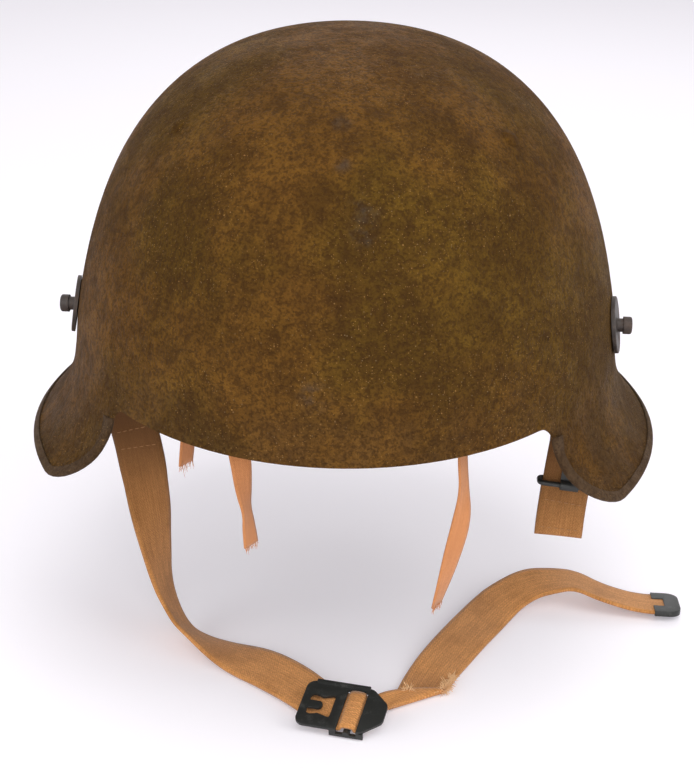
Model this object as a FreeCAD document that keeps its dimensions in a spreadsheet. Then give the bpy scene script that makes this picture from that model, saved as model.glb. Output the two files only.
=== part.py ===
import FreeCAD, Part
import math
import os

from FreeCAD import Rotation, Vector

# Steel combat helmet with temple studs for a visor, a three-pad liner and a
# two-part chin strap. Millimetres, +Z up, the brow towards -Y, the wearer's
# left towards +X. The origin is the middle of the line through the two studs.
# The long strap hangs down from the right temple and lies on a flat surface
# below the helmet.

doc = FreeCAD.newDocument("helmet")
sheet = doc.addObject("Spreadsheet::Sheet", "sizes")

# Each row is an alias and its plain number. Shares and angles have no unit.
SIZES = [
    # Bowl: an oval dome on an upright band that flares out to the rim
    ("bowl_half_width", 119.7), ("bowl_half_length", 138.4), ("bowl_set_back", 23.0),
    ("crown_height", 122.4), ("band_drop", 26.0), ("crown_square_share", 2.39),
    ("crown_cap_share", 0.06), ("lean_start_drop", -56.0), ("lean_reach", 7.5),
    ("flare_start_drop", 24.4), ("flare_end_drop", 55.0), ("flare_reach", 14.9),
    ("flare_curl_share", 1.71), ("sheet_thickness", 1.2),
    # Lower edge seen from the side
    ("notch_ahead", 71.5), ("notch_drop", 18.0), ("brow_dip", 2.9), ("brow_run", 44.5),
    ("lobe_ahead", 76.0), ("rim_drop", 56.0), ("nape_drop", 53.0), ("nape_behind", 185.0),
    ("notch_radius", 7.0), ("lobe_radius", 16.0), ("cut_overrun", 60.0),
    # Steel strip folded over the edge of the lobes and nape
    ("binding_wall", 0.9), ("binding_width", 2.2), ("binding_start_drop", 24.0),
    # Temple studs, their discs and packing rings
    ("disc_radius", 12.7), ("disc_thickness", 1.7), ("disc_stand", 1.9), ("disc_edge", 0.5),
    ("disc_gap", 0.1), ("neck_radius", 3.0), ("neck_length", 2.2), ("neck_seat", 1.3), ("stud_head_radius", 3.9),
    ("stud_head_length", 3.8), ("stud_head_edge", 1.0), ("shank_radius", 2.3),
    ("shank_clearance", 0.05), ("packing_radius", 6.5), ("stud_tail_radius", 3.9),
    ("stud_tail_length", 1.3), ("stud_tail_edge", 0.5),
    # Strap brackets inside the temples
    ("bracket_depth", 9.0), ("bracket_thickness", 1.6), ("bracket_half_width", 7.0),
    ("bracket_top", 8.0), ("joggle_top_drop", 10.0), ("joggle_end_drop", 16.0),
    ("eye_step", 4.6), ("eye_drop", 24.0), ("eye_margin", 4.2), ("eye_radius", 1.9),
    # Wire loops that carry the straps
    ("wire_radius", 1.2), ("loop_drop", 20.0), ("loop_top_half", 4.5), ("loop_bar_half", 13.8),
    ("loop_corner", 2.4), ("right_loop_lean_angle", 20.0), ("left_loop_lean_angle", 3.0),
    # Webbing
    ("web_width", 22.0), ("web_thickness", 1.5), ("tape_width", 9.0), ("tape_thickness", 0.7),
    # Keeper loop and hook on the short strap
    ("keeper_half", 12.6), ("keeper_front", 4.4), ("keeper_rear", 1.45), ("keeper_corner", 1.7),
    ("keeper_across", 104.05), ("keeper_drop", 77.5), ("short_strap_lean_angle", 5.74),
    ("hook_offset", 1.0), ("hook_half_width", 4.2), ("hook_barrel", 2.3),
    ("hook_clearance", 0.08), ("hook_height", 9.0), ("hook_sheet", 1.1), ("hook_lip", 2.2),
    # Buckle
    ("buckle_across", 11.7), ("buckle_ahead", 72.8), ("buckle_drop", 161.3),
    ("buckle_heading_angle", -11.0), ("buckle_bank_angle", 13.0),
    ("bar_radius", 1.6), ("buckle_rise", 1.6), ("buckle_sheet", 1.3),
    ("buckle_left", 23.6), ("buckle_straight", 6.5), ("buckle_nose", 8.3),
    ("buckle_near", 12.9), ("buckle_far", 14.0), ("buckle_corner", 4.2),
    ("slot_half", 4.6), ("slot_far", 11.4), ("catch_left", 20.2), ("catch_right", 9.0),
    ("catch_half", 7.0), ("catch_waist", 5.2), ("tongue_half", 2.1), ("tongue_length", 6.4),
    ("flange_height", 1.5), ("rail_length", 3.0), ("rail_depth", 3.1), ("foot_half", 2.4),
    # Strap tip
    ("tip_across", 155.0), ("tip_behind", 43.8), ("tip_drop", 163.1), ("tip_length", 13.2),
    ("tip_width", 23.4), ("tip_wall", 0.7), ("tip_mouth", 9.0), ("tip_mouth_depth", 5.5),
    ("tip_bank_angle", -6.0), ("tip_pitch_angle", 0.5), ("tip_pocket", 8.5),
    ("tip_clearance", 0.06), ("tip_lead", 4.0),
    # Liner: rivets, canvas hangers and three stuffed pads
    ("rivet_height", 90.9), ("rivet_head_radius", 4.2), ("rivet_head_height", 1.5),
    ("rivet_shank_radius", 1.5), ("rivet_clearance", 0.05), ("rivet_tail_radius", 2.4),
    ("rivet_tail_height", 0.9), ("washer_radius", 6.0), ("washer_thickness", 0.8),
    ("washer_gap", 0.5),
    ("front_rivet_angle", 50.0), ("front_pad_angle", 38.0),
    ("hanger_gap", 0.3), ("hanger_thickness", 1.2), ("hanger_half_width", 13.0),
    ("hanger_top", 12.0), ("hanger_drop", 78.9), ("pad_gap", 0.3), ("pad_depth", 17.0),
    ("pad_half_width", 48.0), ("pad_half_height", 46.0), ("pad_drop", 56.9),
]

# Places that follow from other sizes
PLACES = [
    ("disc_reach", "bowl_half_width + disc_stand"),
    ("bracket_reach", "disc_reach - bracket_depth"),
    ("eye_reach", "bracket_reach - eye_step"),
    ("hanger_bottom", "rivet_height - hanger_drop"),
    ("pad_height", "rivet_height - pad_drop"),
]

for line, (alias, value) in enumerate(SIZES + PLACES, start=1):
    sheet.set(f"A{line}", alias)
    sheet.set(f"B{line}", f"={value}" if isinstance(value, str) else repr(value))
    sheet.setAlias(f"B{line}", alias)
doc.recompute()


def size(alias):
    """Number that the sheet holds under one alias."""
    return float(sheet.get(alias))


def bind(thing, **sums):
    """Bind properties of a document object to sums of aliases, such as "a + b - c"."""
    for name, total in sums.items():
        words = [word if word in "+-" else f"{sheet.Name}.{word}" for word in total.split()]
        thing.setExpression(name.replace("__", "."), " ".join(words))
    return thing


def place(thing, x=None, y=None, z=None):
    """Bind the place of a document object to sums of aliases."""
    for axis, total in (("x", x), ("y", y), ("z", z)):
        if total:
            bind(thing, **{f"Placement__Base__{axis}": total})
    return thing


def feature(label, shape):
    """Sub-part whose shape is set directly."""
    thing = doc.addObject("Part::Feature", label)
    thing.Label = label
    thing.Shape = shape
    return thing


def combine(kind, label, parts):
    """Boolean of document objects: Fuse, Cut, Common or Compound."""
    if kind == "Cut":
        thing = doc.addObject("Part::Cut", label)
        thing.Base, thing.Tool = parts
    else:
        types = {"Fuse": "Part::MultiFuse", "Common": "Part::MultiCommon"}
        thing = doc.addObject(types.get(kind, "Part::Compound"), label)
        if kind == "Compound":
            thing.Links = parts
        else:
            thing.Shapes = parts
    thing.Label = label
    return thing


def mirrored(source, label):
    """The same piece on the other side of the middle plane."""
    thing = doc.addObject("Part::Mirroring", label)
    thing.Source = source
    thing.Normal = Vector(1, 0, 0)
    thing.Label = label
    return thing


# The bowl's surface

def flare(height):
    """How far the wall stands outside the plain oval at one height, and its slope."""
    reach, slope, curl = 0.0, 0.0, size("flare_curl_share")
    for start, most in (("lean_start_drop", "lean_reach"), ("flare_start_drop", "flare_reach")):
        run = size("flare_end_drop") - size(start)
        share = max(0.0, (-size(start) - height) / run)
        reach += size(most) * share ** curl
        slope += size(most) * curl * share ** (curl - 1) / run
    return reach, slope


def half_axes(height, dome_share, depth):
    """Half width and half length of the oval at one height, at a depth inside the wall."""
    reach, slope = flare(height)
    inset = depth * math.sqrt(1 + slope ** 2) - depth
    return (
        (size("bowl_half_width") - depth) * dome_share + reach - inset,
        (size("bowl_half_length") - depth) * dome_share + reach - inset,
    )


def dome_share(height, depth=0.0):
    """Size of the dome's oval at one height, as a share of the band's."""
    rise = (height + size("band_drop")) / (size("crown_height") - depth + size("band_drop"))
    power = size("crown_square_share")
    return (1 - min(max(rise, 0.0), 1.0) ** power) ** (1 / power)


def bowl_body(depth):
    """Solid bounded by the bowl's surface at a depth inside its outer face."""
    low = -size("flare_end_drop") - size("cut_overrun") / 5
    band = -size("band_drop")
    power = size("crown_square_share")
    rise = size("crown_height") - depth - band
    skirt_rows, dome_rows = 8, 14
    levels = [(low + (band - low) * row / skirt_rows, 1.0) for row in range(skirt_rows)]
    last = math.acos(size("crown_cap_share") ** (power / 2))
    for row in range(dome_rows):
        turn = last * row / (dome_rows - 1)
        levels.append((band + rise * math.sin(turn) ** (2 / power), math.cos(turn) ** (2 / power)))
    wires = []
    for height, share in levels:
        wide, long = half_axes(height, share, depth)
        middle = Vector(0, size("bowl_set_back"), height)
        major, minor = Vector(0, long, 0), Vector(-wide, 0, 0)
        if wide > long:
            major, minor = Vector(wide, 0, 0), Vector(0, long, 0)
        oval = Part.Ellipse(middle + major, middle + minor, middle)
        wires.append(Part.Wire(oval.toShape()))
    return Part.makeLoft(wires, True, False)


def wall_point(azimuth, height, depth=0.0):
    """Point of the bowl's wall. Azimuth 0 is the brow and 90 the wearer's left."""
    wide, long = half_axes(height, dome_share(height, depth), depth)
    turn = math.radians(azimuth)
    reach = 1 / math.hypot(math.sin(turn) / wide, math.cos(turn) / long)
    return Vector(reach * math.sin(turn), size("bowl_set_back") - reach * math.cos(turn), height)


def wall_normal(azimuth, height):
    """Outward direction of the bowl's wall at one place."""
    step = size("sheet_thickness") / 4
    along = wall_point(azimuth + 1, height) - wall_point(azimuth - 1, height)
    upward = wall_point(azimuth, height + step) - wall_point(azimuth, height - step)
    return along.cross(upward).normalize()


def rounded(corners, radii):
    """Closed flat wire through corners, each rounded by its own radius."""
    edges, count, ends = [], len(corners), []
    for spot in range(count):
        here, before, after = corners[spot], corners[spot - 1], corners[(spot + 1) % count]
        to_before, to_after = (before - here).normalize(), (after - here).normalize()
        radius = radii[spot]
        if not radius:
            ends.append((here, here))
            continue
        half = to_before.getAngle(to_after) / 2
        start = here + to_before * (radius / math.tan(half))
        stop = here + to_after * (radius / math.tan(half))
        centre = here + (to_before + to_after).normalize() * (radius / math.sin(half))
        middle = centre + (here - centre).normalize() * radius
        ends.append((start, stop))
        edges.append(Part.Arc(start, middle, stop).toShape())
    for spot in range(count):
        first, second = ends[spot][1], ends[(spot + 1) % count][0]
        if (second - first).Length > radii[spot] / 1000 + size("sheet_thickness") / 1000:
            edges.append(Part.LineSegment(first, second).toShape())
    return Part.Wire(Part.__sortEdges__(edges))


def edge_prism(grow):
    """Everything above the lower edge line, which is moved down by a distance."""
    far = size("cut_overrun") * 4
    brow_slope = size("brow_dip") / size("brow_run")
    notch = Vector(-far, -size("notch_ahead") - grow, -size("notch_drop") - grow)
    brow = notch + Vector(0, -far, -far * brow_slope)
    lobe = Vector(-far, -size("lobe_ahead") - grow, -size("rim_drop") - grow)
    nape = Vector(-far, far, -size("rim_drop") - grow + (
        (size("rim_drop") - size("nape_drop")) * (far + size("lobe_ahead"))
        / (size("nape_behind") + size("lobe_ahead"))))
    corners = [brow, notch, lobe, nape, Vector(-far, far, far), Vector(-far, brow.y, far)]
    radii = [0, size("notch_radius") - grow, size("lobe_radius") + grow, 0, 0, 0]
    return Part.Face(rounded(corners, radii)).extrude(Vector(2 * far, 0, 0))


def rod(start, direction, radius, length):
    """Cylinder from a point along a direction."""
    return Part.makeCylinder(radius, length, start, direction)


# Steel shell

outer_body = bowl_body(0.0)
inner_body = bowl_body(size("sheet_thickness"))
rivet_angles = [size("front_rivet_angle"), -size("front_rivet_angle"), 180.0]


def make_shell():
    """Pressed shell with its stud holes and liner rivet holes."""
    low_trim = Part.makeBox(*[8 * size("cut_overrun")] * 3)
    low_trim.translate(Vector(*[-4 * size("cut_overrun")] * 2) + Vector(
        0, 0, -8 * size("cut_overrun") - size("flare_end_drop") - size("cut_overrun") / 10))
    shell = outer_body.cut([inner_body, low_trim]).common(edge_prism(0.0))
    hole = size("shank_radius") + size("shank_clearance")
    reach = size("disc_reach")
    tools = [rod(Vector(-reach, 0, 0), Vector(1, 0, 0), hole, 2 * reach)]
    for azimuth in rivet_angles:
        normal = wall_normal(azimuth, size("rivet_height"))
        start = wall_point(azimuth, size("rivet_height")) - normal * size("washer_radius")
        radius = size("rivet_shank_radius") + size("rivet_clearance")
        tools.append(rod(start, normal, radius, 2 * size("washer_radius")))
    return shell.cut(tools)


shell = feature("shell", make_shell())


# Rim binding: a strip folded over the edge from one notch round to the other

def make_binding():
    """Folded strip: a thicker band on the edge, less the shell itself."""
    wall = size("binding_wall")
    band = bowl_body(-wall).cut(bowl_body(size("sheet_thickness") + wall))
    band = band.common(edge_prism(wall)).cut(edge_prism(-size("binding_width")))
    high = size("cut_overrun")
    above = Part.makeBox(8 * high, 8 * high, 8 * high)
    above.translate(Vector(-4 * high, -4 * high, -size("binding_start_drop")))
    below = above.copy()
    below.translate(Vector(0, 0, -8 * high - size("rim_drop") - 2 * size("binding_width")
                           + size("binding_start_drop")))
    return band.cut([above, below]).cut(shell.Shape)


binding = feature("rim_binding", make_binding())


# Temple studs: head, neck, shank and upset tail on one axis along X

def across(label, radius, length, start):
    """Cylinder along +X whose size and start are sums of aliases."""
    thing = doc.addObject("Part::Cylinder", label)
    bind(thing, Radius=radius, Height=length)
    thing.Placement = FreeCAD.Placement(Vector(), Rotation(Vector(0, 1, 0), 90))
    return place(thing, x=start)


def edges_at(shape, reach):
    """Numbers of the round edges that lie in one plane across X."""
    near = size("sheet_thickness") / 100
    return [number for number, edge in enumerate(shape.Edges, start=1)
            if abs(edge.BoundBox.XMin - reach) < near and abs(edge.BoundBox.XMax - reach) < near]


def softened(source, label, rounds):
    """Fillet of round edges: each entry is a reach along X and a radius alias."""
    doc.recompute()
    thing = doc.addObject("Part::Fillet", label)
    thing.Base = source
    thing.Edges = [(number, size(radius), size(radius))
                   for reach, radius in rounds for number in edges_at(source.Shape, reach)]
    thing.Label = label
    return thing


head_start = "disc_reach + neck_length"
tail_reach = size("bracket_reach") - size("stud_tail_length")
stud_bits = combine("Fuse", "stud_bits", [
    across("stud_head", "stud_head_radius", "stud_head_length", head_start),
    across("stud_neck", "neck_radius", "neck_length + neck_seat", "disc_reach - neck_seat"),
    across("stud_shank", "shank_radius", "disc_reach - bracket_reach", "bracket_reach"),
    across("stud_tail", "stud_tail_radius", "stud_tail_length", "bracket_reach - stud_tail_length"),
])
stud_left = softened(stud_bits, "visor_stud_left", [
    (size("disc_reach") + size("neck_length") + size("stud_head_length"), "stud_head_edge"),
    (tail_reach, "stud_tail_edge"),
])
stud_right = mirrored(stud_left, "visor_stud_right")


def temple_normal():
    """Outward direction of the wall where the stud's axis crosses it."""
    wide, long = half_axes(0.0, dome_share(0.0), 0.0)
    back = size("bowl_set_back") / long
    return wall_normal(math.degrees(math.atan2(wide * math.sqrt(1 - back ** 2), long * back)), 0.0)


def temple_reach():
    """How far out the stud's axis leaves the wall."""
    far = Vector(2 * size("disc_reach"), 0, 0)
    return Part.LineSegment(Vector(), far).toShape().common(outer_body).BoundBox.XMax


def make_disc():
    """Flat disc that lies on the leaning wall, pierced along the stud's axis."""
    normal, reach, hole = temple_normal(), size("disc_reach"), size("neck_radius")
    start = Vector(temple_reach(), 0, 0) + normal * size("disc_gap")
    blank = rod(start, normal, size("disc_radius"), size("disc_thickness"))
    face = start + normal * size("disc_thickness")
    edges = [edge for edge in blank.Edges if len(edge.Vertexes) == 1
             and (edge.CenterOfMass - face).Length < size("disc_edge")]
    blank = blank.makeFillet(size("disc_edge"), edges)
    across_it = Vector(1, 0, 0)
    return blank.cut(rod(Vector(), across_it, hole + size("shank_clearance"), 2 * reach))


disc_left = feature("stud_disc_left", make_disc())
disc_right = mirrored(disc_left, "stud_disc_right")


def make_packing():
    """Ring that fills the space between the bracket and the curved wall."""
    hole = size("shank_radius") + size("shank_clearance")
    inside = size("bracket_reach") + size("bracket_thickness")
    length = size("disc_reach") - inside
    ring = rod(Vector(inside, 0, 0), Vector(1, 0, 0), size("packing_radius"), length)
    ring = ring.cut(rod(Vector(inside, 0, 0), Vector(1, 0, 0), hole, length))
    return ring.common(inner_body).Solids[0]


packing_left = feature("stud_packing_left", make_packing())
packing_right = mirrored(packing_left, "stud_packing_right")


# Strap brackets: a plate under the stud's tail, stepped inwards to a pierced ear

def make_bracket():
    """Joggled plate with a hole for the stud and an eye for the wire loop."""
    thick, reach, eye = size("bracket_thickness"), size("bracket_reach"), size("eye_reach")
    ear = eye - thick / 2
    bottom = -size("eye_drop") - size("eye_margin")
    line = [(reach, size("bracket_top")), (reach + thick, size("bracket_top")),
            (reach + thick, -size("joggle_top_drop")), (ear + thick, -size("joggle_end_drop")),
            (ear + thick, bottom), (ear, bottom),
            (ear, -size("joggle_end_drop")), (reach, -size("joggle_top_drop"))]
    half = size("bracket_half_width")
    points = [Vector(x, -half, z) for x, z in line]
    plate = Part.Face(Part.makePolygon(points + points[:1])).extrude(Vector(0, 2 * half, 0))
    start = Vector(ear - thick, 0, 0)
    hole = size("shank_radius") + size("shank_clearance")
    drilled = plate.cut([
        rod(start, Vector(1, 0, 0), hole, size("disc_reach") - ear),
        rod(start - Vector(0, 0, size("eye_drop")), Vector(1, 0, 0), size("eye_radius"), 3 * thick),
    ])
    rounded_off = [edge for edge in drilled.Edges
                   if edge.BoundBox.ZLength < thick and edge.BoundBox.YLength < thick
                   and (edge.BoundBox.ZMax > size("bracket_top") - thick / 10
                        or edge.BoundBox.ZMin < bottom + thick / 10)]
    return drilled.makeFillet(size("bracket_half_width") / 2, rounded_off)


bracket_left = feature("strap_bracket_left", make_bracket())
bracket_right = mirrored(bracket_left, "strap_bracket_right")


# Wire loops

def wire_ring(corners, corner_radius):
    """Closed ring of round wire through flat corners."""
    path = rounded(corners, [corner_radius] * len(corners))
    first = path.Edges[0]
    middle = (first.FirstParameter + first.LastParameter) / 2
    start = first.valueAt(first.FirstParameter)
    tangent = first.tangentAt(first.FirstParameter)
    section = Part.Wire(Part.Circle(start, tangent, size("wire_radius")).toShape())
    ring = path.makePipeShell([section], True, False)
    return ring


def loop_frame(side, lean):
    """Eye, bar direction and hanging direction of a strap's wire loop. Side is +1 at +X."""
    turn = math.radians(lean)
    eye = Vector(side * size("eye_reach"), 0, -size("eye_drop"))
    along = Vector(math.cos(turn), 0, -side * math.sin(turn))
    hang = Vector(-side * math.sin(turn), 0, -math.cos(turn))
    return eye, along, hang


def make_loop(side, lean):
    """Trapezium loop: its short side in the bracket's eye, its long side carries the strap."""
    eye, along, hang = loop_frame(side, lean)
    top, bar, drop = size("loop_top_half"), size("loop_bar_half"), size("loop_drop")
    corners = [eye - along * top, eye + along * top,
               eye + along * bar + hang * drop, eye - along * bar + hang * drop]
    return wire_ring(corners, size("loop_corner"))


loop_left = feature("strap_loop_left", make_loop(1, size("left_loop_lean_angle")))
loop_right = feature("strap_loop_right", make_loop(-1, size("right_loop_lean_angle")))


# Webbing: a flat ribbon along hand-chosen rows, each a middle point and the
# direction from one edge to the other, whose length is 1 for the full width

def spline(points):
    """Clamped quadratic curve with the points as its poles."""
    inner = len(points) - 2
    curve = Part.BSplineCurve()
    curve.buildFromPolesMultsKnots(points, [3] + [1] * (inner - 1) + [3],
                                   [float(knot) for knot in range(inner + 1)], False, 2)
    return curve.toShape()


def ribbon(rows, width, thickness):
    """Closed flat band whose four long edges are smooth curves."""
    middles = [Vector(*row[:3]) for row in rows]
    rails = [[], [], [], []]
    last = len(rows) - 1
    for spot, row in enumerate(rows):
        middle, wide = middles[spot], Vector(*row[3:6])
        runs = [middles[min(end, last)] - middles[max(end - 1, 0)] for end in (spot, spot + 1)]
        runs = [run.normalize() for run in runs if run.Length > 0]
        run = runs[0] + runs[-1]
        up = run.cross(wide).normalize() * min(2 / run.Length, 1.5)
        if len(row) > 6:
            up = Vector(*row[6:])
        up, side = up * (thickness / 2), wide * (width / 2)
        for rail, point in zip(rails, (middle - side + up, middle + side + up,
                                       middle + side - up, middle - side - up)):
            rail.append(point)
    edges = [spline(rail) for rail in rails]
    faces = [Part.makeRuledSurface(edges[spot], edges[(spot + 1) % 4]) for spot in range(4)]
    for end in (0, -1):
        corners = [rail[end] for rail in rails]
        faces.append(Part.Face(Part.makePolygon(corners + corners[:1])))
    skin = Part.makeShell(faces)
    skin.sewShape()
    band = Part.makeSolid(skin)
    if band.Volume < 0:
        band.reverse()
    length = spline(middles).Length
    print(f"ribbon {length:.1f} long, volume over section {band.Volume / (width * thickness):.1f}")
    return band


# From the sewn end round the right wire loop, down to the table, through the
# buckle, folded under on the slant and on to the tip. Rows with nine numbers
# also say which way the face looks.
CHIN_STRAP_ROWS = [
    (-95.4, 1.0, -58.8, 0.94, 0, 0.34), (-97.4, 1.1, -53.1, 0.94, 0, 0.34),
    (-99.5, 2.3, -47.5, 0.94, 0, 0.34), (-101.88, 2.5, -40.82, 0.91, 0, 0.33),
    (-101.88, -2.5, -40.82, 0.91, 0, 0.33), (-99.5, -2.3, -47.5, 0.94, 0, 0.34),
    (-97.3, -1.1, -54.0, 0.95, 0, 0.30), (-94.4, -1.0, -66.0, 0.97, 0, 0.24),
    (-92.0, -0.6, -81.0, 1.0, 0, 0.07), (-89.6, 1.5, -103.0, 0.72, 0.70, 0.03),
    (-86.8, 1.5, -124.0, 0.40, 0.92, 0), (-84.8, 1.5, -141.0, 0.16, 0.97, -0.15),
    (-79.5, -3.5, -151.5, 0.12, 0.90, -0.42), (-73.5, -9.5, -158.0, 0.24, 0.80, -0.55),
    (-64.5, -16.0, -160.2, 0.36, 0.81, -0.46), (-54.5, -21.0, -162.8, 0.43, 0.88, -0.20),
    (-45.0, -26.5, -163.6, 0.54, 0.84, 0.06), (-37.0, -32.3, -162.8, 0.56, 0.80, 0.21),
    (-29.0, -38.5, -162.0, 0.56, 0.79, 0.25), (-15.0, -51.0, -161.3, 0.50, 0.83, 0.24),
    (-3.5, -64.5, -160.8, 0.36, 0.90, 0.23),
]
# Round the crossbar in the buckle's own directions: along the strap, then upwards
ARCH = [(-5.4, 0.65), (-3.4, 0.65), (-2.9, 2.8), (2.9, 2.8), (3.4, 0.65), (5.4, 0.55)]
FREE_END_ROWS = [
    (22.5, -65.8, -161.5, 0.227, 0.932, 0.173, -0.02, -0.18, 0.98),
    (30.5, -57.5, -162.7, 0.59, 0.86, 0.07, 0.04, -0.09, 0.99),
    (39.5, -53.1, -163.35, 1.13, 0.79, 0.01, 0.55, -0.84, 1.0),
    (39.5, -53.1, -165.25, 1.13, 0.79, 0, 0.55, -0.84, -1.0),
    (42.8, -40.5, -165.25, 0.98, -0.20, 0, 0, 0, -1), (45.5, -32.0, -165.1, 0.93, -0.36, -0.02),
    (50.2, -21.0, -163.9, 0.91, -0.38, -0.14), (61.0, 2.0, -162.9, 0.89, -0.40, -0.20),
    (74.0, 29.0, -162.9, 0.87, -0.45, -0.20), (81.5, 40.0, -160.9, 0.70, -0.70, -0.14),
    (93.5, 48.5, -157.0, 0.38, -0.90, -0.20), (105.3, 48.6, -154.9, 0.12, -0.99, -0.06),
    (116.6, 51.5, -155.8, -0.08, -0.99, 0.08), (129.0, 46.6, -159.1, -0.14, -0.98, 0.15),
    (141.5, 44.4, -161.9, -0.07, -0.99, 0.12),
]

SHORT_STRAP_ROWS = [
    (106.1, 1.0, -60.5, 0.995, 0, -0.1), (106.3, 1.1, -55.0, 0.998, 0, -0.06),
    (106.7, 2.3, -49.0, 0.999, 0, -0.05), (107.08, 2.5, -41.87, 0.97, 0, -0.05),
    (107.08, -2.5, -41.87, 0.97, 0, -0.05), (106.7, -2.3, -49.0, 0.999, 0, -0.05),
    (106.3, -1.0, -55.5, 0.998, 0, -0.07), (105.2, -1.0, -65.0, 0.995, 0, -0.1),
    (103.6, -1.0, -80.0, 0.98, 0, -0.18), (102.5, -1.0, -92.0, 0.99, 0, -0.13),
    (101.9, -1.1, -104.6, 0.998, 0, -0.07), (101.9, 1.1, -104.6, 0.998, 0, -0.07),
    (102.5, 1.0, -92.0, 0.99, 0, -0.13), (103.5, 1.0, -80.3, 0.98, 0, -0.18),
]

# Each tie starts inside the pad that it is sewn to
TAPE_ROWS = {
    "tie_tape_right": ("front_right", [
        (-49.0, -88.5, 10.0, 0.90, 0.40, 0), (-45.0, -91.0, 0.0, 0.90, 0.40, 0),
        (-38.5, -96.5, -12.0, 0.93, 0.37, 0), (-34.4, -100.2, -26.0, 0.93, 0.37, 0),
        (-33.0, -100.2, -41.0, 0.62, 0.78, 0), (-31.6, -100.0, -50.0, 0.18, 0.98, 0),
        (-31.0, -99.5, -58.0, 0.45, 0.89, 0), (-30.4, -99.0, -66.0, 0.50, 0.87, 0),
    ]),
    "tie_tape_left": ("front_left", [
        (52.0, -87.5, 14.0, 0.55, 0.84, 0), (53.0, -88.0, 2.0, 0.50, 0.87, 0),
        (54.0, -88.5, -12.0, 0.42, 0.91, 0), (54.3, -88.5, -27.0, 0.38, 0.92, 0),
        (55.5, -88.0, -41.0, 0.36, 0.93, 0), (55.3, -88.0, -56.0, 0.90, 0.44, 0),
        (51.5, -88.0, -75.0, 0.80, 0.56, -0.2), (46.5, -88.0, -96.0, 0.44, 0.89, -0.1),
    ]),
    "tie_tape_rear": ("front_right", [
        (-61.0, -71.0, 7.0, 0.80, 0.60, 0), (-59.0, -69.0, -6.0, 0.72, 0.69, 0),
        (-58.6, -68.2, -18.0, 0.60, 0.80, 0), (-60.0, -68.5, -32.0, 0.55, 0.83, 0),
        (-61.3, -68.5, -45.0, 0.50, 0.86, 0),
    ]),
}

heading = math.radians(size("buckle_heading_angle"))
bank = math.radians(size("buckle_bank_angle"))
buckle_run = Vector(math.cos(heading), math.sin(heading), 0)
buckle_side = Vector(-math.sin(heading) * math.cos(bank), math.cos(heading) * math.cos(bank),
                     math.sin(bank))
buckle_up = buckle_run.cross(buckle_side)
buckle_middle = Vector(size("buckle_across"), -size("buckle_ahead"), -size("buckle_drop"))


def buckle_point(run, side, up):
    """Point in the buckle's own directions, from the middle of its crossbar."""
    return buckle_middle + buckle_run * run + buckle_side * side + buckle_up * up


web = (size("web_width"), size("web_thickness"))
tip_turn = (Rotation(Vector(0, 1, 0), size("tip_pitch_angle"))
            * Rotation(Vector(1, 0, 0), size("tip_bank_angle")))
tip_place = FreeCAD.Placement(
    Vector(size("tip_across"), size("tip_behind"), -size("tip_drop")), tip_turn)
tip_edge = tip_turn.multVec(Vector(0, -1, 0))
END_ROWS = [(*tip_place.multVec(Vector(along, 0, 0)), *tip_edge)
            for along in (-size("tip_lead"), size("tip_lead"),
                          size("tip_pocket") - size("tip_wall") / 2)]
arch_rows = [(*buckle_point(run, 0, up), *buckle_side) for run, up in ARCH]
feature("chin_strap", ribbon(CHIN_STRAP_ROWS + arch_rows + FREE_END_ROWS + END_ROWS, *web))
feature("short_strap", ribbon(SHORT_STRAP_ROWS, *web))


# Keeper loop and hook on the short strap

keeper_turn = math.radians(size("short_strap_lean_angle"))
keeper_along = Vector(math.cos(keeper_turn), 0, -math.sin(keeper_turn))
keeper_up = Vector(math.sin(keeper_turn), 0, math.cos(keeper_turn))
keeper_middle = Vector(size("keeper_across"), 0, -size("keeper_drop"))


def make_keeper():
    """Flat wire loop round the webbing."""
    half, front, rear = size("keeper_half"), size("keeper_front"), size("keeper_rear")
    corners = [keeper_middle + keeper_along * a + Vector(0, y, 0)
               for a, y in ((-half, -front), (half, -front), (half, rear), (-half, rear))]
    return wire_ring(corners, size("keeper_corner"))


def make_hook():
    """Sheet barrel that turns on the keeper's front bar, with a lipped tongue above it."""
    half, barrel, sheet_ = size("hook_half_width"), size("hook_barrel"), size("hook_sheet")
    middle = keeper_middle + keeper_along * size("hook_offset") - Vector(0, size("keeper_front"), 0)
    start = middle - keeper_along * half
    back = Vector(0, 1, 0)

    def slab(low, high, near, far):
        points = [start + keeper_up * z + back * y for z, y in
                  ((low, near), (high, near), (high, far), (low, far))]
        return Part.Face(Part.makePolygon(points + points[:1])).extrude(keeper_along * (2 * half))

    tongue = slab(0, size("hook_height"), barrel - sheet_, barrel)
    lip = slab(size("hook_height") - sheet_, size("hook_height"), barrel - size("hook_lip"), barrel)
    hole = size("wire_radius") + size("hook_clearance")
    body = rod(start, keeper_along, barrel, 2 * half).fuse([tongue, lip]).removeSplitter()
    return body.cut(rod(start, keeper_along, hole, 2 * half))


feature("keeper_loop", make_keeper())
feature("keeper_hook", make_hook())


# Buckle: stamped plate, its crossbar and the catch that the hook drops into

def slab_on(outline, low, high, radii=None):
    """Solid of an outline in the buckle's plane between two levels."""
    points = [buckle_point(run, side, low) for run, side in outline]
    wire = rounded(points, radii or [0] * len(points))
    return Part.Face(wire).extrude(buckle_up * (high - low))


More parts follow.
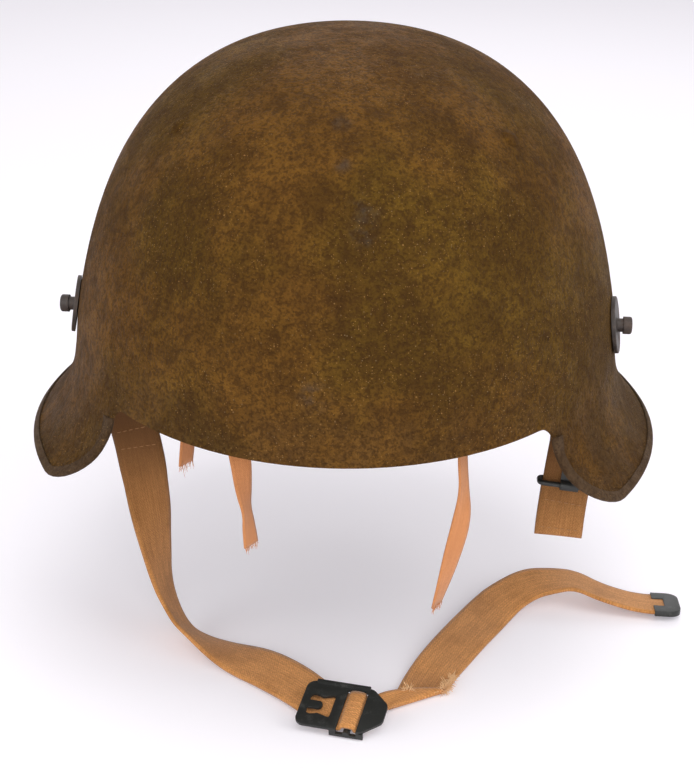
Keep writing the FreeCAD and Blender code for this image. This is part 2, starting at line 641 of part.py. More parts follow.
def make_buckle():
    """Plate with a rounded nose, an open strap slot, a waisted catch and a far flange."""
    low, high = size("buckle_rise"), size("buckle_rise") + size("buckle_sheet")
    left, straight, nose = size("buckle_left"), size("buckle_straight"), size("buckle_nose")
    near, far, corner = size("buckle_near"), size("buckle_far"), size("buckle_corner")
    middle = (far - near) / 2
    tip = (far + near) / 5
    outline = [(-left, -near), (straight, -near), (straight + nose, middle - tip),
               (straight + nose, middle + tip), (straight, far), (-left, far)]
    radii = [corner, corner, corner, corner, corner, corner]
    plate = slab_on(outline, low, high, radii)
    flange = slab_on([(-left + corner, far - size("buckle_sheet")),
                      (straight - corner / 3, far - size("buckle_sheet")),
                      (straight - corner / 3, far), (-left + corner, far)],
                     high, high + size("flange_height"))
    half, over = size("slot_half"), size("buckle_sheet")
    slot = slab_on([(-half, -near - over), (half, -near - over), (half, size("slot_far")),
                    (-half, size("slot_far"))], low - over, high + over)
    right, catch, waist = size("catch_right"), size("catch_half"), size("catch_waist")
    inner = size("catch_left")
    knee = (right + inner) / 2
    soft = size("tongue_half") / 2
    catch_hole = slab_on([(-inner, -catch), (-knee, -waist), (-right, -catch),
                          (-right, catch), (-knee, waist), (-inner, catch)],
                         low - over, high + over, [2 * soft, soft, soft, soft, soft, 2 * soft])
    tongue = slab_on([(-inner - over, -size("tongue_half")),
                      (-inner + size("tongue_length"), -size("tongue_half")),
                      (-inner + size("tongue_length"), size("tongue_half")),
                      (-inner - over, size("tongue_half"))],
                     low, high, [0, size("tongue_half") * 0.9, size("tongue_half") * 0.9, 0])
    return plate.cut([slot, catch_hole]).fuse([tongue, flange]).removeSplitter()


def make_crossbar():
    """Round bar under the slot, with a foot at the far side and a low rail at the near side."""
    radius, near, far = size("bar_radius"), size("buckle_near"), size("buckle_far")
    bar = rod(buckle_point(0, -near, 0), buckle_side, radius, near + size("slot_far"))
    half, foot, deep = size("slot_half"), size("rail_length"), size("rail_depth")
    rise, wide = size("buckle_rise"), size("foot_half")
    rail = slab_on([(-half - foot, -near), (half + foot, -near), (half + foot, -near + foot / 2),
                    (-half - foot, -near + foot / 2)], rise - deep, rise - deep + foot / 2)
    posts = [slab_on([(run, -near), (run + foot, -near), (run + foot, -near + foot / 2),
                      (run, -near + foot / 2)], rise - deep, rise) for run in (-half - foot, half)]
    pad = slab_on([(-wide, size("slot_far") - foot / 20), (wide, size("slot_far") - foot / 20),
                   (wide, far - foot / 4), (-wide, far - foot / 4)], -radius, rise)
    return bar.fuse([rail, pad] + posts).removeSplitter()


feature("buckle_plate", make_buckle())
feature("buckle_crossbar", make_crossbar())


# Strap tip: pressed clip with a notched mouth

def make_tip():
    """Clip that holds the end of the webbing, in its own tilted frame."""
    length, wide, wall = size("tip_length"), size("tip_width"), size("tip_wall")
    gap = size("web_thickness") + 2 * size("tip_clearance")
    tall = gap + 2 * wall
    mouth, notch, pocket = size("tip_mouth"), size("tip_mouth_depth"), size("tip_pocket")
    clip = Part.makeBox(length, wide, tall, Vector(0, -wide / 2, -tall / 2))
    ends = [edge for edge in clip.Edges
            if edge.BoundBox.ZLength > tall / 2 and edge.BoundBox.XMin > length / 2]
    clip = clip.makeFillet(wide / 4, ends)
    room = size("web_width") + 2 * size("tip_clearance")
    slot = Part.makeBox(pocket, room, gap, Vector(0, -room / 2, -gap / 2))
    window = Part.makeBox(notch, mouth, tall, Vector(0, -mouth / 2, 0))
    clip = clip.cut([slot, window])
    clip.Placement = tip_place
    return clip


feature("strap_tip", make_tip())


# Liner: rivets with washers, canvas hangers and stuffed pads

def rivet_frame(azimuth):
    """Point on the outer face and outward direction of one liner rivet."""
    height = size("rivet_height")
    return wall_point(azimuth, height), wall_normal(azimuth, height)


def make_rivets():
    """Three domed rivets through the crown."""
    rivets = []
    for azimuth in rivet_angles:
        point, normal = rivet_frame(azimuth)
        radius, rise = size("rivet_head_radius"), size("rivet_head_height")
        ball = (radius ** 2 + rise ** 2) / (2 * rise)
        head = Part.makeSphere(ball, point + normal * (rise - ball))
        head = head.common(rod(point, normal, radius, 2 * rise)).cut(outer_body)
        depth = (size("sheet_thickness") + size("hanger_gap") + size("hanger_thickness")
                 + size("washer_thickness") + size("washer_gap"))
        shank = rod(point - normal * depth, normal, size("rivet_shank_radius"), depth + rise / 2)
        tail = rod(point - normal * (depth + size("rivet_tail_height")), normal,
                   size("rivet_tail_radius"), size("rivet_tail_height"))
        rivets.append(head.fuse([shank, tail]).removeSplitter().Solids[0])
    return Part.makeCompound(rivets)


def make_washers():
    """Flat washers under the rivets' tails."""
    washers = []
    for azimuth in rivet_angles:
        point, normal = rivet_frame(azimuth)
        depth = (size("sheet_thickness") + size("hanger_gap") + size("hanger_thickness")
                 + size("washer_thickness") + size("washer_gap"))
        start = point - normal * depth
        hole = size("rivet_shank_radius") + size("rivet_clearance")
        washers.append(rod(start, normal, size("washer_radius"), size("washer_thickness")).cut(
            rod(start, normal, hole, size("washer_thickness"))))
    return Part.makeCompound(washers)


hanger_front = size("sheet_thickness") + size("hanger_gap")
hanger_back = hanger_front + size("hanger_thickness")
hanger_layer = bowl_body(hanger_front).cut(bowl_body(hanger_back))
pad_room = bowl_body(hanger_back + size("pad_gap"))


def make_hanger(rivet_azimuth, pad_azimuth):
    """Canvas strip against the wall, from its rivet down behind its pad."""
    top = wall_point(rivet_azimuth, size("rivet_height") + size("hanger_top"))
    bottom = wall_point(pad_azimuth, size("hanger_bottom"))
    turn = math.radians(rivet_azimuth)
    side = Vector(math.cos(turn), math.sin(turn), 0)
    out = Vector(math.sin(turn), -math.cos(turn), 0)
    half, reach = size("hanger_half_width"), size("bowl_half_length")
    corners = [top - side * half, top + side * half, bottom + side * half, bottom - side * half]
    corners = [corner - out * (corner.dot(out) - size("washer_radius")) for corner in corners]
    prism = Part.Face(Part.makePolygon(corners + corners[:1])).extrude(out * reach * 2)
    strip = hanger_layer.common(prism)
    point, normal = rivet_frame(rivet_azimuth)
    hole = size("rivet_shank_radius") + size("rivet_clearance")
    strip = strip.cut(rod(point - normal * size("washer_radius"), normal, hole,
                          size("washer_radius") * 2))
    return max(strip.Solids, key=lambda solid: solid.Volume)


def make_pad(azimuth):
    """Stuffed pad: a flattened ball pressed against its hanger."""
    point = wall_point(azimuth, size("pad_height"), hanger_back + size("pad_gap"))
    normal = wall_normal(azimuth, size("pad_height"))
    level = Vector(normal.x, normal.y, 0).normalize()
    stretch = FreeCAD.Matrix()
    stretch.scale(size("pad_depth"), size("pad_half_width"), size("pad_half_height"))
    ball = Part.makeSphere(1.0).transformGeometry(stretch)
    ball.Placement = FreeCAD.Placement(point, Rotation(Vector(1, 0, 0), level))
    return ball.common(pad_room).Solids[0]


feature("liner_rivets", make_rivets())
feature("liner_washers", make_washers())
for name, rivet_azimuth, pad_azimuth in (
        ("front_left", size("front_rivet_angle"), size("front_pad_angle")),
        ("front_right", -size("front_rivet_angle"), -size("front_pad_angle")),
        ("rear", 180.0, 180.0)):
    feature(f"pad_hanger_{name}", make_hanger(rivet_azimuth, pad_azimuth))
    feature(f"liner_pad_{name}", make_pad(pad_azimuth))
for tape, (pad_name, rows) in TAPE_ROWS.items():
    whole = ribbon(rows, size("tape_width"), size("tape_thickness"))
    outside = whole.cut(doc.getObject(f"liner_pad_{pad_name}").Shape)
    feature(tape, min(outside.Solids, key=lambda solid: solid.BoundBox.ZMin))

SUB_PARTS = [
    "shell", "rim_binding", "visor_stud_left", "visor_stud_right", "stud_disc_left",
    "stud_disc_right", "stud_packing_left", "stud_packing_right", "strap_bracket_left",
    "strap_bracket_right", "strap_loop_left", "strap_loop_right", "chin_strap", "short_strap",
    "tie_tape_right", "tie_tape_left", "tie_tape_rear", "keeper_loop", "keeper_hook",
    "buckle_plate", "buckle_crossbar", "strap_tip", "liner_rivets", "liner_washers",
    "pad_hanger_front_left", "pad_hanger_front_right", "pad_hanger_rear",
    "liner_pad_front_left", "liner_pad_front_right", "liner_pad_rear",
]

doc.recompute()
for thing in doc.Objects:
    if "Invalid" in thing.State or "Error" in thing.State:
        raise RuntimeError(f"{thing.Name} failed: {thing.State}")
os.makedirs("parts", exist_ok=True)
for label in SUB_PARTS:
    shape = doc.getObjectsByLabel(label)[0].Shape
    if shape.isNull() or not shape.isValid() or not shape.Solids:
        raise RuntimeError(f"{label} has no valid solid")
    print(f"{label}: {len(shape.Solids)} solids, {shape.Volume:.1f} mm3")
    shape.exportStep(f"parts/{label}.step")
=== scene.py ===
"""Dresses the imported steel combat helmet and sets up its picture.

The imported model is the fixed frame. Its webbing, tapes, hangers and pads are replaced by finished
soft pieces, its small pressed fittings by softened ones, and every piece gets a worn finish.
"""

import logging
import math
import random
from dataclasses import dataclass, field
from enum import Enum

import bmesh
import bpy
from mathutils import Matrix, Vector, noise


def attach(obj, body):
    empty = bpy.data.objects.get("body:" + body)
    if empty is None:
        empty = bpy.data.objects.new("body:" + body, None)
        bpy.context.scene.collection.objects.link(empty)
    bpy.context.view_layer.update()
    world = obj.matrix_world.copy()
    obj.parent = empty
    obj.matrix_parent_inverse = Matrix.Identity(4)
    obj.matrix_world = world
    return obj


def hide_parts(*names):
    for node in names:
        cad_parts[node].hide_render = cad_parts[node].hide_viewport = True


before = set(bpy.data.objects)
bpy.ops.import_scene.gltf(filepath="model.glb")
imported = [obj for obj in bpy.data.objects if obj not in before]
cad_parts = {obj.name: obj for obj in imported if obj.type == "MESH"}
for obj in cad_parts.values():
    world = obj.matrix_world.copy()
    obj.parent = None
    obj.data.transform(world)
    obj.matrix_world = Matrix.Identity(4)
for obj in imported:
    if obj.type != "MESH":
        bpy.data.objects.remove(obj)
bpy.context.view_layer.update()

LOG = logging.getLogger("helmet")
MM = 0.001
Colour = tuple[float, float, float]


class Body(Enum):
    """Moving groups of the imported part."""

    HELMET = "helmet"
    LONG_STRAP = "long_strap"
    BUCKLE = "buckle"
    SHORT_STRAP = "short_strap_set"
    HOOK = "hook"


class Cloth(Enum):
    """What a woven band is cut from."""

    WEBBING = "webbing"
    TAPE = "tape"


def points_of(rows: list[tuple[float, ...]]) -> list[Vector]:
    """Middle points of a band's rows, in metres."""
    return [Vector(row[:3]) * MM for row in rows]


def nurbs_line(points: list[Vector], detail: int) -> list[Vector]:
    """Points along the smooth open curve that the control points make.

    Args:
        points: Control points in metres.
        detail: Steps on each stretch of the curve.

    Returns:
        Points read from the evaluated curve, from its first end to its last.
    """
    curve = bpy.data.curves.new("route", "CURVE")
    curve.dimensions = "3D"
    curve.resolution_u = detail
    spline = curve.splines.new("NURBS")
    spline.points.add(len(points) - 1)
    for knot, point in zip(spline.points, points):
        knot.co = (*point, 1.0)
    spline.order_u = 3
    spline.use_endpoint_u = True
    holder = bpy.data.objects.new("route", curve)
    bpy.context.scene.collection.objects.link(holder)
    bpy.context.view_layer.update()
    mesh = bpy.data.meshes.new_from_object(holder)
    line = [vertex.co.copy() for vertex in mesh.vertices]
    bpy.data.objects.remove(holder)
    bpy.data.curves.remove(curve)
    bpy.data.meshes.remove(mesh)
    return line


def length_of(line: list[Vector]) -> float:
    """Length of a chain of points."""
    return sum((after - before).length for before, after in zip(line, line[1:]))


def linked(name: str, mesh: bpy.types.Mesh) -> bpy.types.Object:
    """New object at the origin that shows a mesh.

    Args:
        name: Name that it gets.
        mesh: Mesh that it shows.

    Returns:
        The new object.
    """
    piece = bpy.data.objects.new(name, mesh)
    bpy.context.scene.collection.objects.link(piece)
    return piece


def select_only(piece: bpy.types.Object) -> None:
    """Makes one object the only selected and the active one.

    Args:
        piece: The piece to work on.
    """
    bpy.ops.object.select_all(action="DESELECT")
    piece.select_set(True)
    bpy.context.view_layer.objects.active = piece


def apply_modifier(piece: bpy.types.Object, kind: str, **settings: object) -> None:
    """Adds one modifier to a piece and applies it.

    Args:
        piece: The piece to work on.
        kind: Kind of node or modifier.
        settings: Properties to set.
    """
    select_only(piece)
    modifier = piece.modifiers.new(kind.lower(), kind)
    for name, value in settings.items():
        setattr(modifier, name, value)
    bpy.ops.object.modifier_apply(modifier=modifier.name)


def copied_node(node: str, name: str) -> bpy.types.Object:
    """Closed copy of a CAD node, with its loose triangles merged into flat faces.

    Args:
        node: Name of the CAD node.
        name: Name that it gets.

    Returns:
        The copy, at the origin.
    """
    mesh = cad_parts[node].data.copy()
    piece = linked(name, mesh)
    select_only(piece)
    bpy.ops.object.mode_set(mode="EDIT")
    bpy.ops.mesh.select_all(action="SELECT")
    bpy.ops.mesh.customdata_custom_splitnormals_clear()
    bpy.ops.mesh.remove_doubles(threshold=0.005 * MM)
    bpy.ops.mesh.dissolve_limited(angle_limit=math.radians(0.6))
    bpy.ops.object.mode_set(mode="OBJECT")
    return piece


def smoothed(piece: bpy.types.Object, angle: float = 40.0) -> None:
    """Shades a piece smooth, apart from its sharp edges."""
    select_only(piece)
    bpy.ops.object.shade_smooth_by_angle(angle=math.radians(angle))


def dressed(piece: bpy.types.Object, *finishes: bpy.types.Material) -> None:
    """Gives a new piece its materials.

    Args:
        piece: The piece to work on.
        finishes: Materials, the main one first.
    """
    piece.data.materials.clear()
    for finish in finishes:
        piece.data.materials.append(finish)


class Shader:
    """Writer of shader nodes in one node tree."""

    def __init__(self, tree: bpy.types.NodeTree) -> None:
        """Keeps the tree that the nodes go into."""
        self.tree = tree
        self.entry: bpy.types.Node | None = None
        self.exit: bpy.types.Node | None = None
        self.material: bpy.types.Material | None = None

    def node(self, kind: str, **settings: object) -> bpy.types.Node:
        """New node with its properties set.

        Args:
            kind: Kind of node or modifier.
            settings: Properties to set.

        Returns:
            The new node.
        """
        made = self.tree.nodes.new(kind)
        for name, value in settings.items():
            setattr(made, name, value)
        return made

    def feed(self, socket: bpy.types.NodeSocket, value: object) -> None:
        """Links a socket to another, or sets its number or colour.

        Args:
            socket: Socket that receives it.
            value: A socket, a number or a colour.
        """
        if isinstance(value, bpy.types.NodeSocket):
            self.tree.links.new(value, socket)
        elif isinstance(value, tuple) and socket.type == "RGBA":
            socket.default_value = (*value, 1.0)
        else:
            socket.default_value = value

    def sum(self, kind: str, first: object, second: object = 0.0) -> bpy.types.NodeSocket:
        """Result of one Math node.

        Args:
            kind: Kind of node or modifier.
            first: First value or colour.
            second: Second value or colour.

        Returns:
            The result's socket.
        """
        made = self.node("ShaderNodeMath", operation=kind)
        self.feed(made.inputs[0], first)
        self.feed(made.inputs[1], second)
        return made.outputs[0]

    def mix(self, share: object, first: object, second: object) -> bpy.types.NodeSocket:
        """Colour between two colours.

        Args:
            share: How far to go from the first to the second.
            first: First value or colour.
            second: Second value or colour.

        Returns:
            The colour's socket.
        """
        made = self.node("ShaderNodeMix", data_type="RGBA")
        self.feed(made.inputs[0], share)
        self.feed(made.inputs[6], first)
        self.feed(made.inputs[7], second)
        return made.outputs[2]

    def limits(self, value: object, low: float, high: float, bottom: float = 0.0,
               top: float = 1.0) -> bpy.types.NodeSocket:
        """Value spread smoothly from one range to another.

        Args:
            value: A socket, a number or a colour.
            low: Value at which the result starts.
            high: Value at which the result is reached.
            bottom: Result at the low value.
            top: Result at the high value.

        Returns:
            The result's socket.
        """
        made = self.node("ShaderNodeMapRange", interpolation_type="SMOOTHSTEP")
        for slot, number in enumerate((value, low, high, bottom, top)):
            self.feed(made.inputs[slot], number)
        return made.outputs[0]

    def noise(self, vector: object, scale: float, detail: float = 4.0,
              rough: float = 0.55) -> bpy.types.NodeSocket:
        """Grey noise at a number of waves per metre.

        Args:
            vector: Coordinates that the pattern reads.
            scale: Waves or cells per metre.
            detail: Levels of finer noise.
            rough: Strength of the finer levels.

        Returns:
            The noise's socket.
        """
        made = self.node("ShaderNodeTexNoise")
        self.feed(made.inputs["Vector"], vector)
        self.feed(made.inputs["Scale"], scale)
        self.feed(made.inputs["Detail"], detail)
        self.feed(made.inputs["Roughness"], rough)
        return made.outputs["Fac"]

    def cells(self, vector: object, scale: float) -> bpy.types.Node:
        """Cell pattern at a number of cells per metre.

        Args:
            vector: Coordinates that the pattern reads.
            scale: Waves or cells per metre.

        Returns:
            The pattern's node.
        """
        made = self.node("ShaderNodeTexVoronoi")
        self.feed(made.inputs["Vector"], vector)
        self.feed(made.inputs["Scale"], scale)
        return made

    def bump(self, height: object, depth: float, strength: float = 1.0) -> bpy.types.NodeSocket:
        """Normal of a height pattern that is some metres deep.

        Args:
            height: Height of the place, in millimetres.
            depth: Depth in metres, or below the outer face in millimetres.
            strength: Share of the bump that shows.

        Returns:
            The normal's socket.
        """
        made = self.node("ShaderNodeBump")
        self.feed(made.inputs["Strength"], strength)
        self.feed(made.inputs["Distance"], depth)
        self.feed(made.inputs["Height"], height)
        return made.outputs["Normal"]

    def place(self) -> bpy.types.NodeSocket:
        """Object coordinates in metres."""
        return self.node("ShaderNodeTexCoord").outputs["Object"]

    def cloth_place(self) -> bpy.types.NodeSocket:
        """Coordinates on a cloth, across and along it, in metres."""
        return self.node("ShaderNodeUVMap", uv_map="cloth").outputs["UV"]


def new_group(name: str, inputs: dict[str, object], outputs: dict[str, str]) -> Shader:
    """Empty node group with named sockets.

    Args:
        name: Name of the group.
        inputs: Each input's name and plain value; None stands for a vector.
        outputs: Each output's name and socket type.

    Returns:
        A writer for the group's tree.
    """
    tree = bpy.data.node_groups.new(name, "ShaderNodeTree")
    for title, value in inputs.items():
        kind = "NodeSocketVector" if value is None else "NodeSocketFloat"
        socket = tree.interface.new_socket(title, in_out="INPUT", socket_type=kind)
        if value is not None:
            socket.default_value = value
    for title, kind in outputs.items():
        tree.interface.new_socket(title, in_out="OUTPUT", socket_type=kind)
    writer = Shader(tree)
    writer.entry = writer.node("NodeGroupInput")
    writer.exit = writer.node("NodeGroupOutput")
    return writer


def grime_group() -> bpy.types.NodeTree:
    """Uneven dirt: large clouds broken up by fine grain.

    Returns:
        The group's tree.
    """
    made = new_group("grime", {"Place": None, "Clouds": 40.0, "Grain": 400.0, "Cover": 0.5},
                     {"Mask": "NodeSocketFloat", "Grain": "NodeSocketFloat"})
    sockets = made.entry.outputs
    clouds = made.noise(sockets["Place"], sockets["Clouds"], 5.0, 0.6)
    grain = made.noise(sockets["Place"], sockets["Grain"], 3.0, 0.6)
    both = made.sum("ADD", made.sum("MULTIPLY", clouds, 0.72), made.sum("MULTIPLY", grain, 0.28))
    edge = made.sum("SUBTRACT", 0.86, made.sum("MULTIPLY", sockets["Cover"], 0.7))
    mask = made.node("ShaderNodeMapRange", interpolation_type="SMOOTHSTEP")
    made.feed(mask.inputs[0], both)
    made.feed(mask.inputs[1], made.sum("SUBTRACT", edge, 0.13))
    made.feed(mask.inputs[2], made.sum("ADD", edge, 0.13))
    made.feed(made.exit.inputs["Mask"], mask.outputs[0])
    made.feed(made.exit.inputs["Grain"], grain)
    return made.tree


def weave_group() -> bpy.types.NodeTree:
    """Plain weave: threads that pass over and under each other, a little uneven.

    Returns:
        The group's tree.
    """
    made = new_group("weave", {"Place": None, "Warp": 900.0, "Weft": 700.0, "Wander": 0.0002},
                     {"Height": "NodeSocketFloat", "Thread": "NodeSocketFloat"})
    sockets = made.entry.outputs
    drift = made.node("ShaderNodeTexNoise")
    made.feed(drift.inputs["Vector"], sockets["Place"])
    made.feed(drift.inputs["Scale"], 260.0)
    moved = made.node("ShaderNodeVectorMath", operation="MULTIPLY_ADD")
    made.feed(moved.inputs[0], drift.outputs["Color"])
    made.feed(moved.inputs[1], sockets["Wander"])
    made.feed(moved.inputs[2], sockets["Place"])
    split = made.node("ShaderNodeSeparateXYZ")
    made.feed(split.inputs[0], moved.outputs[0])
    turn = 2 * math.pi
    across = made.sum("MULTIPLY", made.sum("MULTIPLY", split.outputs[0], sockets["Warp"]), turn)
    along = made.sum("MULTIPLY", made.sum("MULTIPLY", split.outputs[1], sockets["Weft"]), turn)
    warp = made.sum("SINE", across)
    weft = made.sum("SINE", along)
    knots = made.sum("MULTIPLY", warp, weft)
    ribs = made.sum("MULTIPLY", made.sum("ABSOLUTE", made.sum("SINE", made.sum(
        "MULTIPLY", across, 0.5))), 0.35)
    height = made.sum("ADD", made.sum("MULTIPLY", knots, 0.35), ribs)
    made.feed(made.exit.inputs["Height"], height)
    made.feed(made.exit.inputs["Thread"], made.limits(height, -0.2, 0.9))
    return made.tree


GROUPS: dict[str, bpy.types.NodeTree] = {}


def effect(writer: Shader, name: str, **values: object) -> bpy.types.Node:
    """Places a shared effect in a material with its own values.

    Args:
        writer: Writer of the material's nodes.
        name: Name that it gets.
        values: Value or socket for each input.

    Returns:
        The group's node in the material.
    """
    made = writer.node("ShaderNodeGroup", node_tree=GROUPS[name])
    for title, value in values.items():
        writer.feed(made.inputs[title.capitalize()], value)
    return made


def new_material(name: str) -> tuple[Shader, bpy.types.Node]:
    """Empty material and its Principled shader.

    Args:
        name: Name that it gets.

    Returns:
        A writer for its tree, and its shader.
    """
    material = bpy.data.materials.new(name)
    material.use_nodes = True
    writer = Shader(material.node_tree)
    writer.material = material
    return writer, material.node_tree.nodes["Principled BSDF"]


@dataclass(frozen=True)
class PaintFinish:
    """Old brown paint over cork grit, with stain marks, rust and scattered bright flecks; painted shade in
    the grit's low pits, and greyer sides and low flare from dusting and a painted reflection of the pale
    surroundings.
    """

    name: str
    fresh: Colour = (0.212, 0.095, 0.014)
    # Dark stain colour, also used for the painted shade in the grit's pits.
    stain_and_shade_tone: Colour = (0.052, 0.022, 0.005)
    olive: Colour = (0.178, 0.094, 0.011)
    # Greyer tone for the sides and low flare: dust, with a painted reflection of the pale surroundings.
    dust_and_sheen_tone: Colour = (0.086, 0.050, 0.026)
    fleck: Colour = (0.52, 0.28, 0.09)
    pale: Colour = (0.38, 0.26, 0.13)
    smudge: Colour = (0.050, 0.046, 0.044)
    grit: float = 3.2 * MM
    fleck_share: float = 0.6
    side_start: float = 0.062
    side_end: float = 0.150
    low_start: float = 0.02
    low_end: float = -0.05
    cloud_waves: float = 24.0
    blot_waves: float = 110.0
    tint_waves: float = 13.0
    dust_waves: float = 70.0
    smudge_waves: float = 160.0
    grain_waves: float = 900.0
    lump_waves: float = 380.0
    pebble_cells: float = 820.0
    patch_waves: float = 28.0
    stain_share: float = 0.55
    blot_share: float = 0.6
    side_dust_sheen_share: float = 0.45
    smudge_share: float = 0.55
    pit_shade_share: float = 0.66
    smudges: tuple[tuple[float, float, float, float], ...] = ()

    def build(self) -> bpy.types.Material:
        """Makes the material.

        Returns:
            The material.
        """
        writer, shader = new_material(self.name)
        place = writer.place()
        broad = effect(writer, "grime", place=place, clouds=self.cloud_waves, grain=260.0,
                       cover=0.52)
        close = effect(writer, "grime", place=place, clouds=self.blot_waves,
                       grain=self.grain_waves, cover=0.45)
        tint = writer.limits(writer.noise(place, self.tint_waves, 3.0), 0.38, 0.62)
        colour = writer.mix(tint, self.fresh, self.olive)
        shade = writer.sum("MULTIPLY", broad.outputs["Mask"], self.stain_share)
        colour = writer.mix(shade, colour, self.stain_and_shade_tone)
        blots = writer.sum("MULTIPLY", close.outputs["Mask"], self.blot_share)
        colour = writer.mix(blots, colour, self.stain_and_shade_tone)
        # Greyer towards the sides and the low flare, mottled by noise: dust together with a painted
        # reflection of the pale surroundings on those faces.
        split = writer.node("ShaderNodeSeparateXYZ")
        writer.feed(split.inputs[0], place)
        side = writer.limits(writer.sum("ABSOLUTE", split.outputs[0]), self.side_start, self.side_end)
        low = writer.limits(split.outputs[2], self.low_start, self.low_end)
        side = writer.sum("MULTIPLY", side, self.side_dust_sheen_share)
        dust_and_sheen = writer.sum("MULTIPLY", writer.sum("MAXIMUM", side, low), writer.limits(
            writer.noise(place, self.dust_waves, 5.0, 0.65), 0.34, 0.66, 0.10, 0.60))
        colour = writer.mix(dust_and_sheen, colour, self.dust_and_sheen_tone)
        for x, y, z, radius in self.smudges:
            away = writer.node("ShaderNodeVectorMath", operation="DISTANCE")
            writer.feed(away.inputs[0], place)
            writer.feed(away.inputs[1], Vector((x, y, z)))
            cloudy = writer.limits(writer.noise(place, self.smudge_waves, 5.0, 0.6), 0.36, 0.62)
            rub = writer.sum("MULTIPLY", writer.limits(away.outputs["Value"], radius, radius / 5),
                             cloudy)
            colour = writer.mix(writer.sum("MULTIPLY", rub, self.smudge_share), colour, self.smudge)
        grain = writer.noise(place, self.grain_waves, 3.0, 0.66)
        lumps = writer.noise(place, self.lump_waves, 2.0, 0.5)
        pebble = writer.cells(place, self.pebble_cells).outputs["Distance"]
        height = writer.sum("ADD", grain, writer.sum("MULTIPLY", lumps, 0.8))
        height = writer.sum("SUBTRACT", height, writer.sum("MULTIPLY", pebble, 0.35))
        # Darker where the grit is low, towards the stain colour: painted shade in the pits between the
        # grains.
        pits = writer.limits(height, 0.84, 0.54, 0.0, self.pit_shade_share)
        colour = writer.mix(pits, colour, self.stain_and_shade_tone)
        patch = writer.limits(writer.noise(place, self.patch_waves, 2.0), 0.40, 0.60, 0.15, 1.0)
        for scale, least, tone in ((1400.0, 0.86, self.fleck), (1150.0, 0.95, self.pale),
                                   (800.0, 0.975, self.fleck)):
            cell = writer.cells(place, scale)
            chosen = writer.node("ShaderNodeSeparateColor")
            writer.feed(chosen.inputs[0], cell.outputs["Color"])
            spot = writer.sum("MULTIPLY", writer.limits(cell.outputs["Distance"], 0.34, 0.16),
                              writer.limits(chosen.outputs[0], least, least + 0.02))
            spot = writer.sum("MULTIPLY", writer.sum("MULTIPLY", spot, patch), self.fleck_share)
            colour = writer.mix(spot, colour, tone)
        writer.feed(shader.inputs["Base Color"], colour)
        writer.feed(shader.inputs["Normal"], writer.bump(height, self.grit, 0.95))
        writer.feed(shader.inputs["Roughness"], writer.limits(broad.outputs["Mask"], 0, 1, 0.58, 0.78))
        shader.inputs["Specular IOR Level"].default_value = 0.08
        return writer.material


@dataclass(frozen=True)
class SteelFinish:
    """Blackened or tarnished steel, rubbed bright in patches."""

    name: str
    dark: Colour
    worn: Colour
    wear: float = 0.35
    rust: Colour = (0.11, 0.055, 0.028)
    rust_share: float = 0.25
    metal: float = 0.75
    rough: float = 0.46
    pits: float = 0.05 * MM
    rub_waves: float = 190.0
    rust_waves: float = 120.0

    def build(self) -> bpy.types.Material:
        """Makes the material.

        Returns:
            The material.
        """
        writer, shader = new_material(self.name)
        place = writer.place()
        rubbed = effect(writer, "grime", place=place, clouds=self.rub_waves, grain=1500.0,
                        cover=self.wear)
        rusted = effect(writer, "grime", place=place, clouds=self.rust_waves, grain=800.0,
                        cover=self.rust_share)
        colour = writer.mix(rubbed.outputs["Mask"], self.dark, self.worn)
        colour = writer.mix(rusted.outputs["Mask"], colour, self.rust)
        writer.feed(shader.inputs["Base Color"], colour)
        shine = writer.sum("MULTIPLY", writer.limits(rusted.outputs["Mask"], 0, 1, 1, 0.2), self.metal)
        writer.feed(shader.inputs["Metallic"], shine)
        writer.feed(shader.inputs["Roughness"], writer.limits(
            rusted.outputs["Mask"], 0, 1, self.rough, 0.8))
        writer.feed(shader.inputs["Normal"], writer.bump(rubbed.outputs["Grain"], self.pits))
        return writer.material


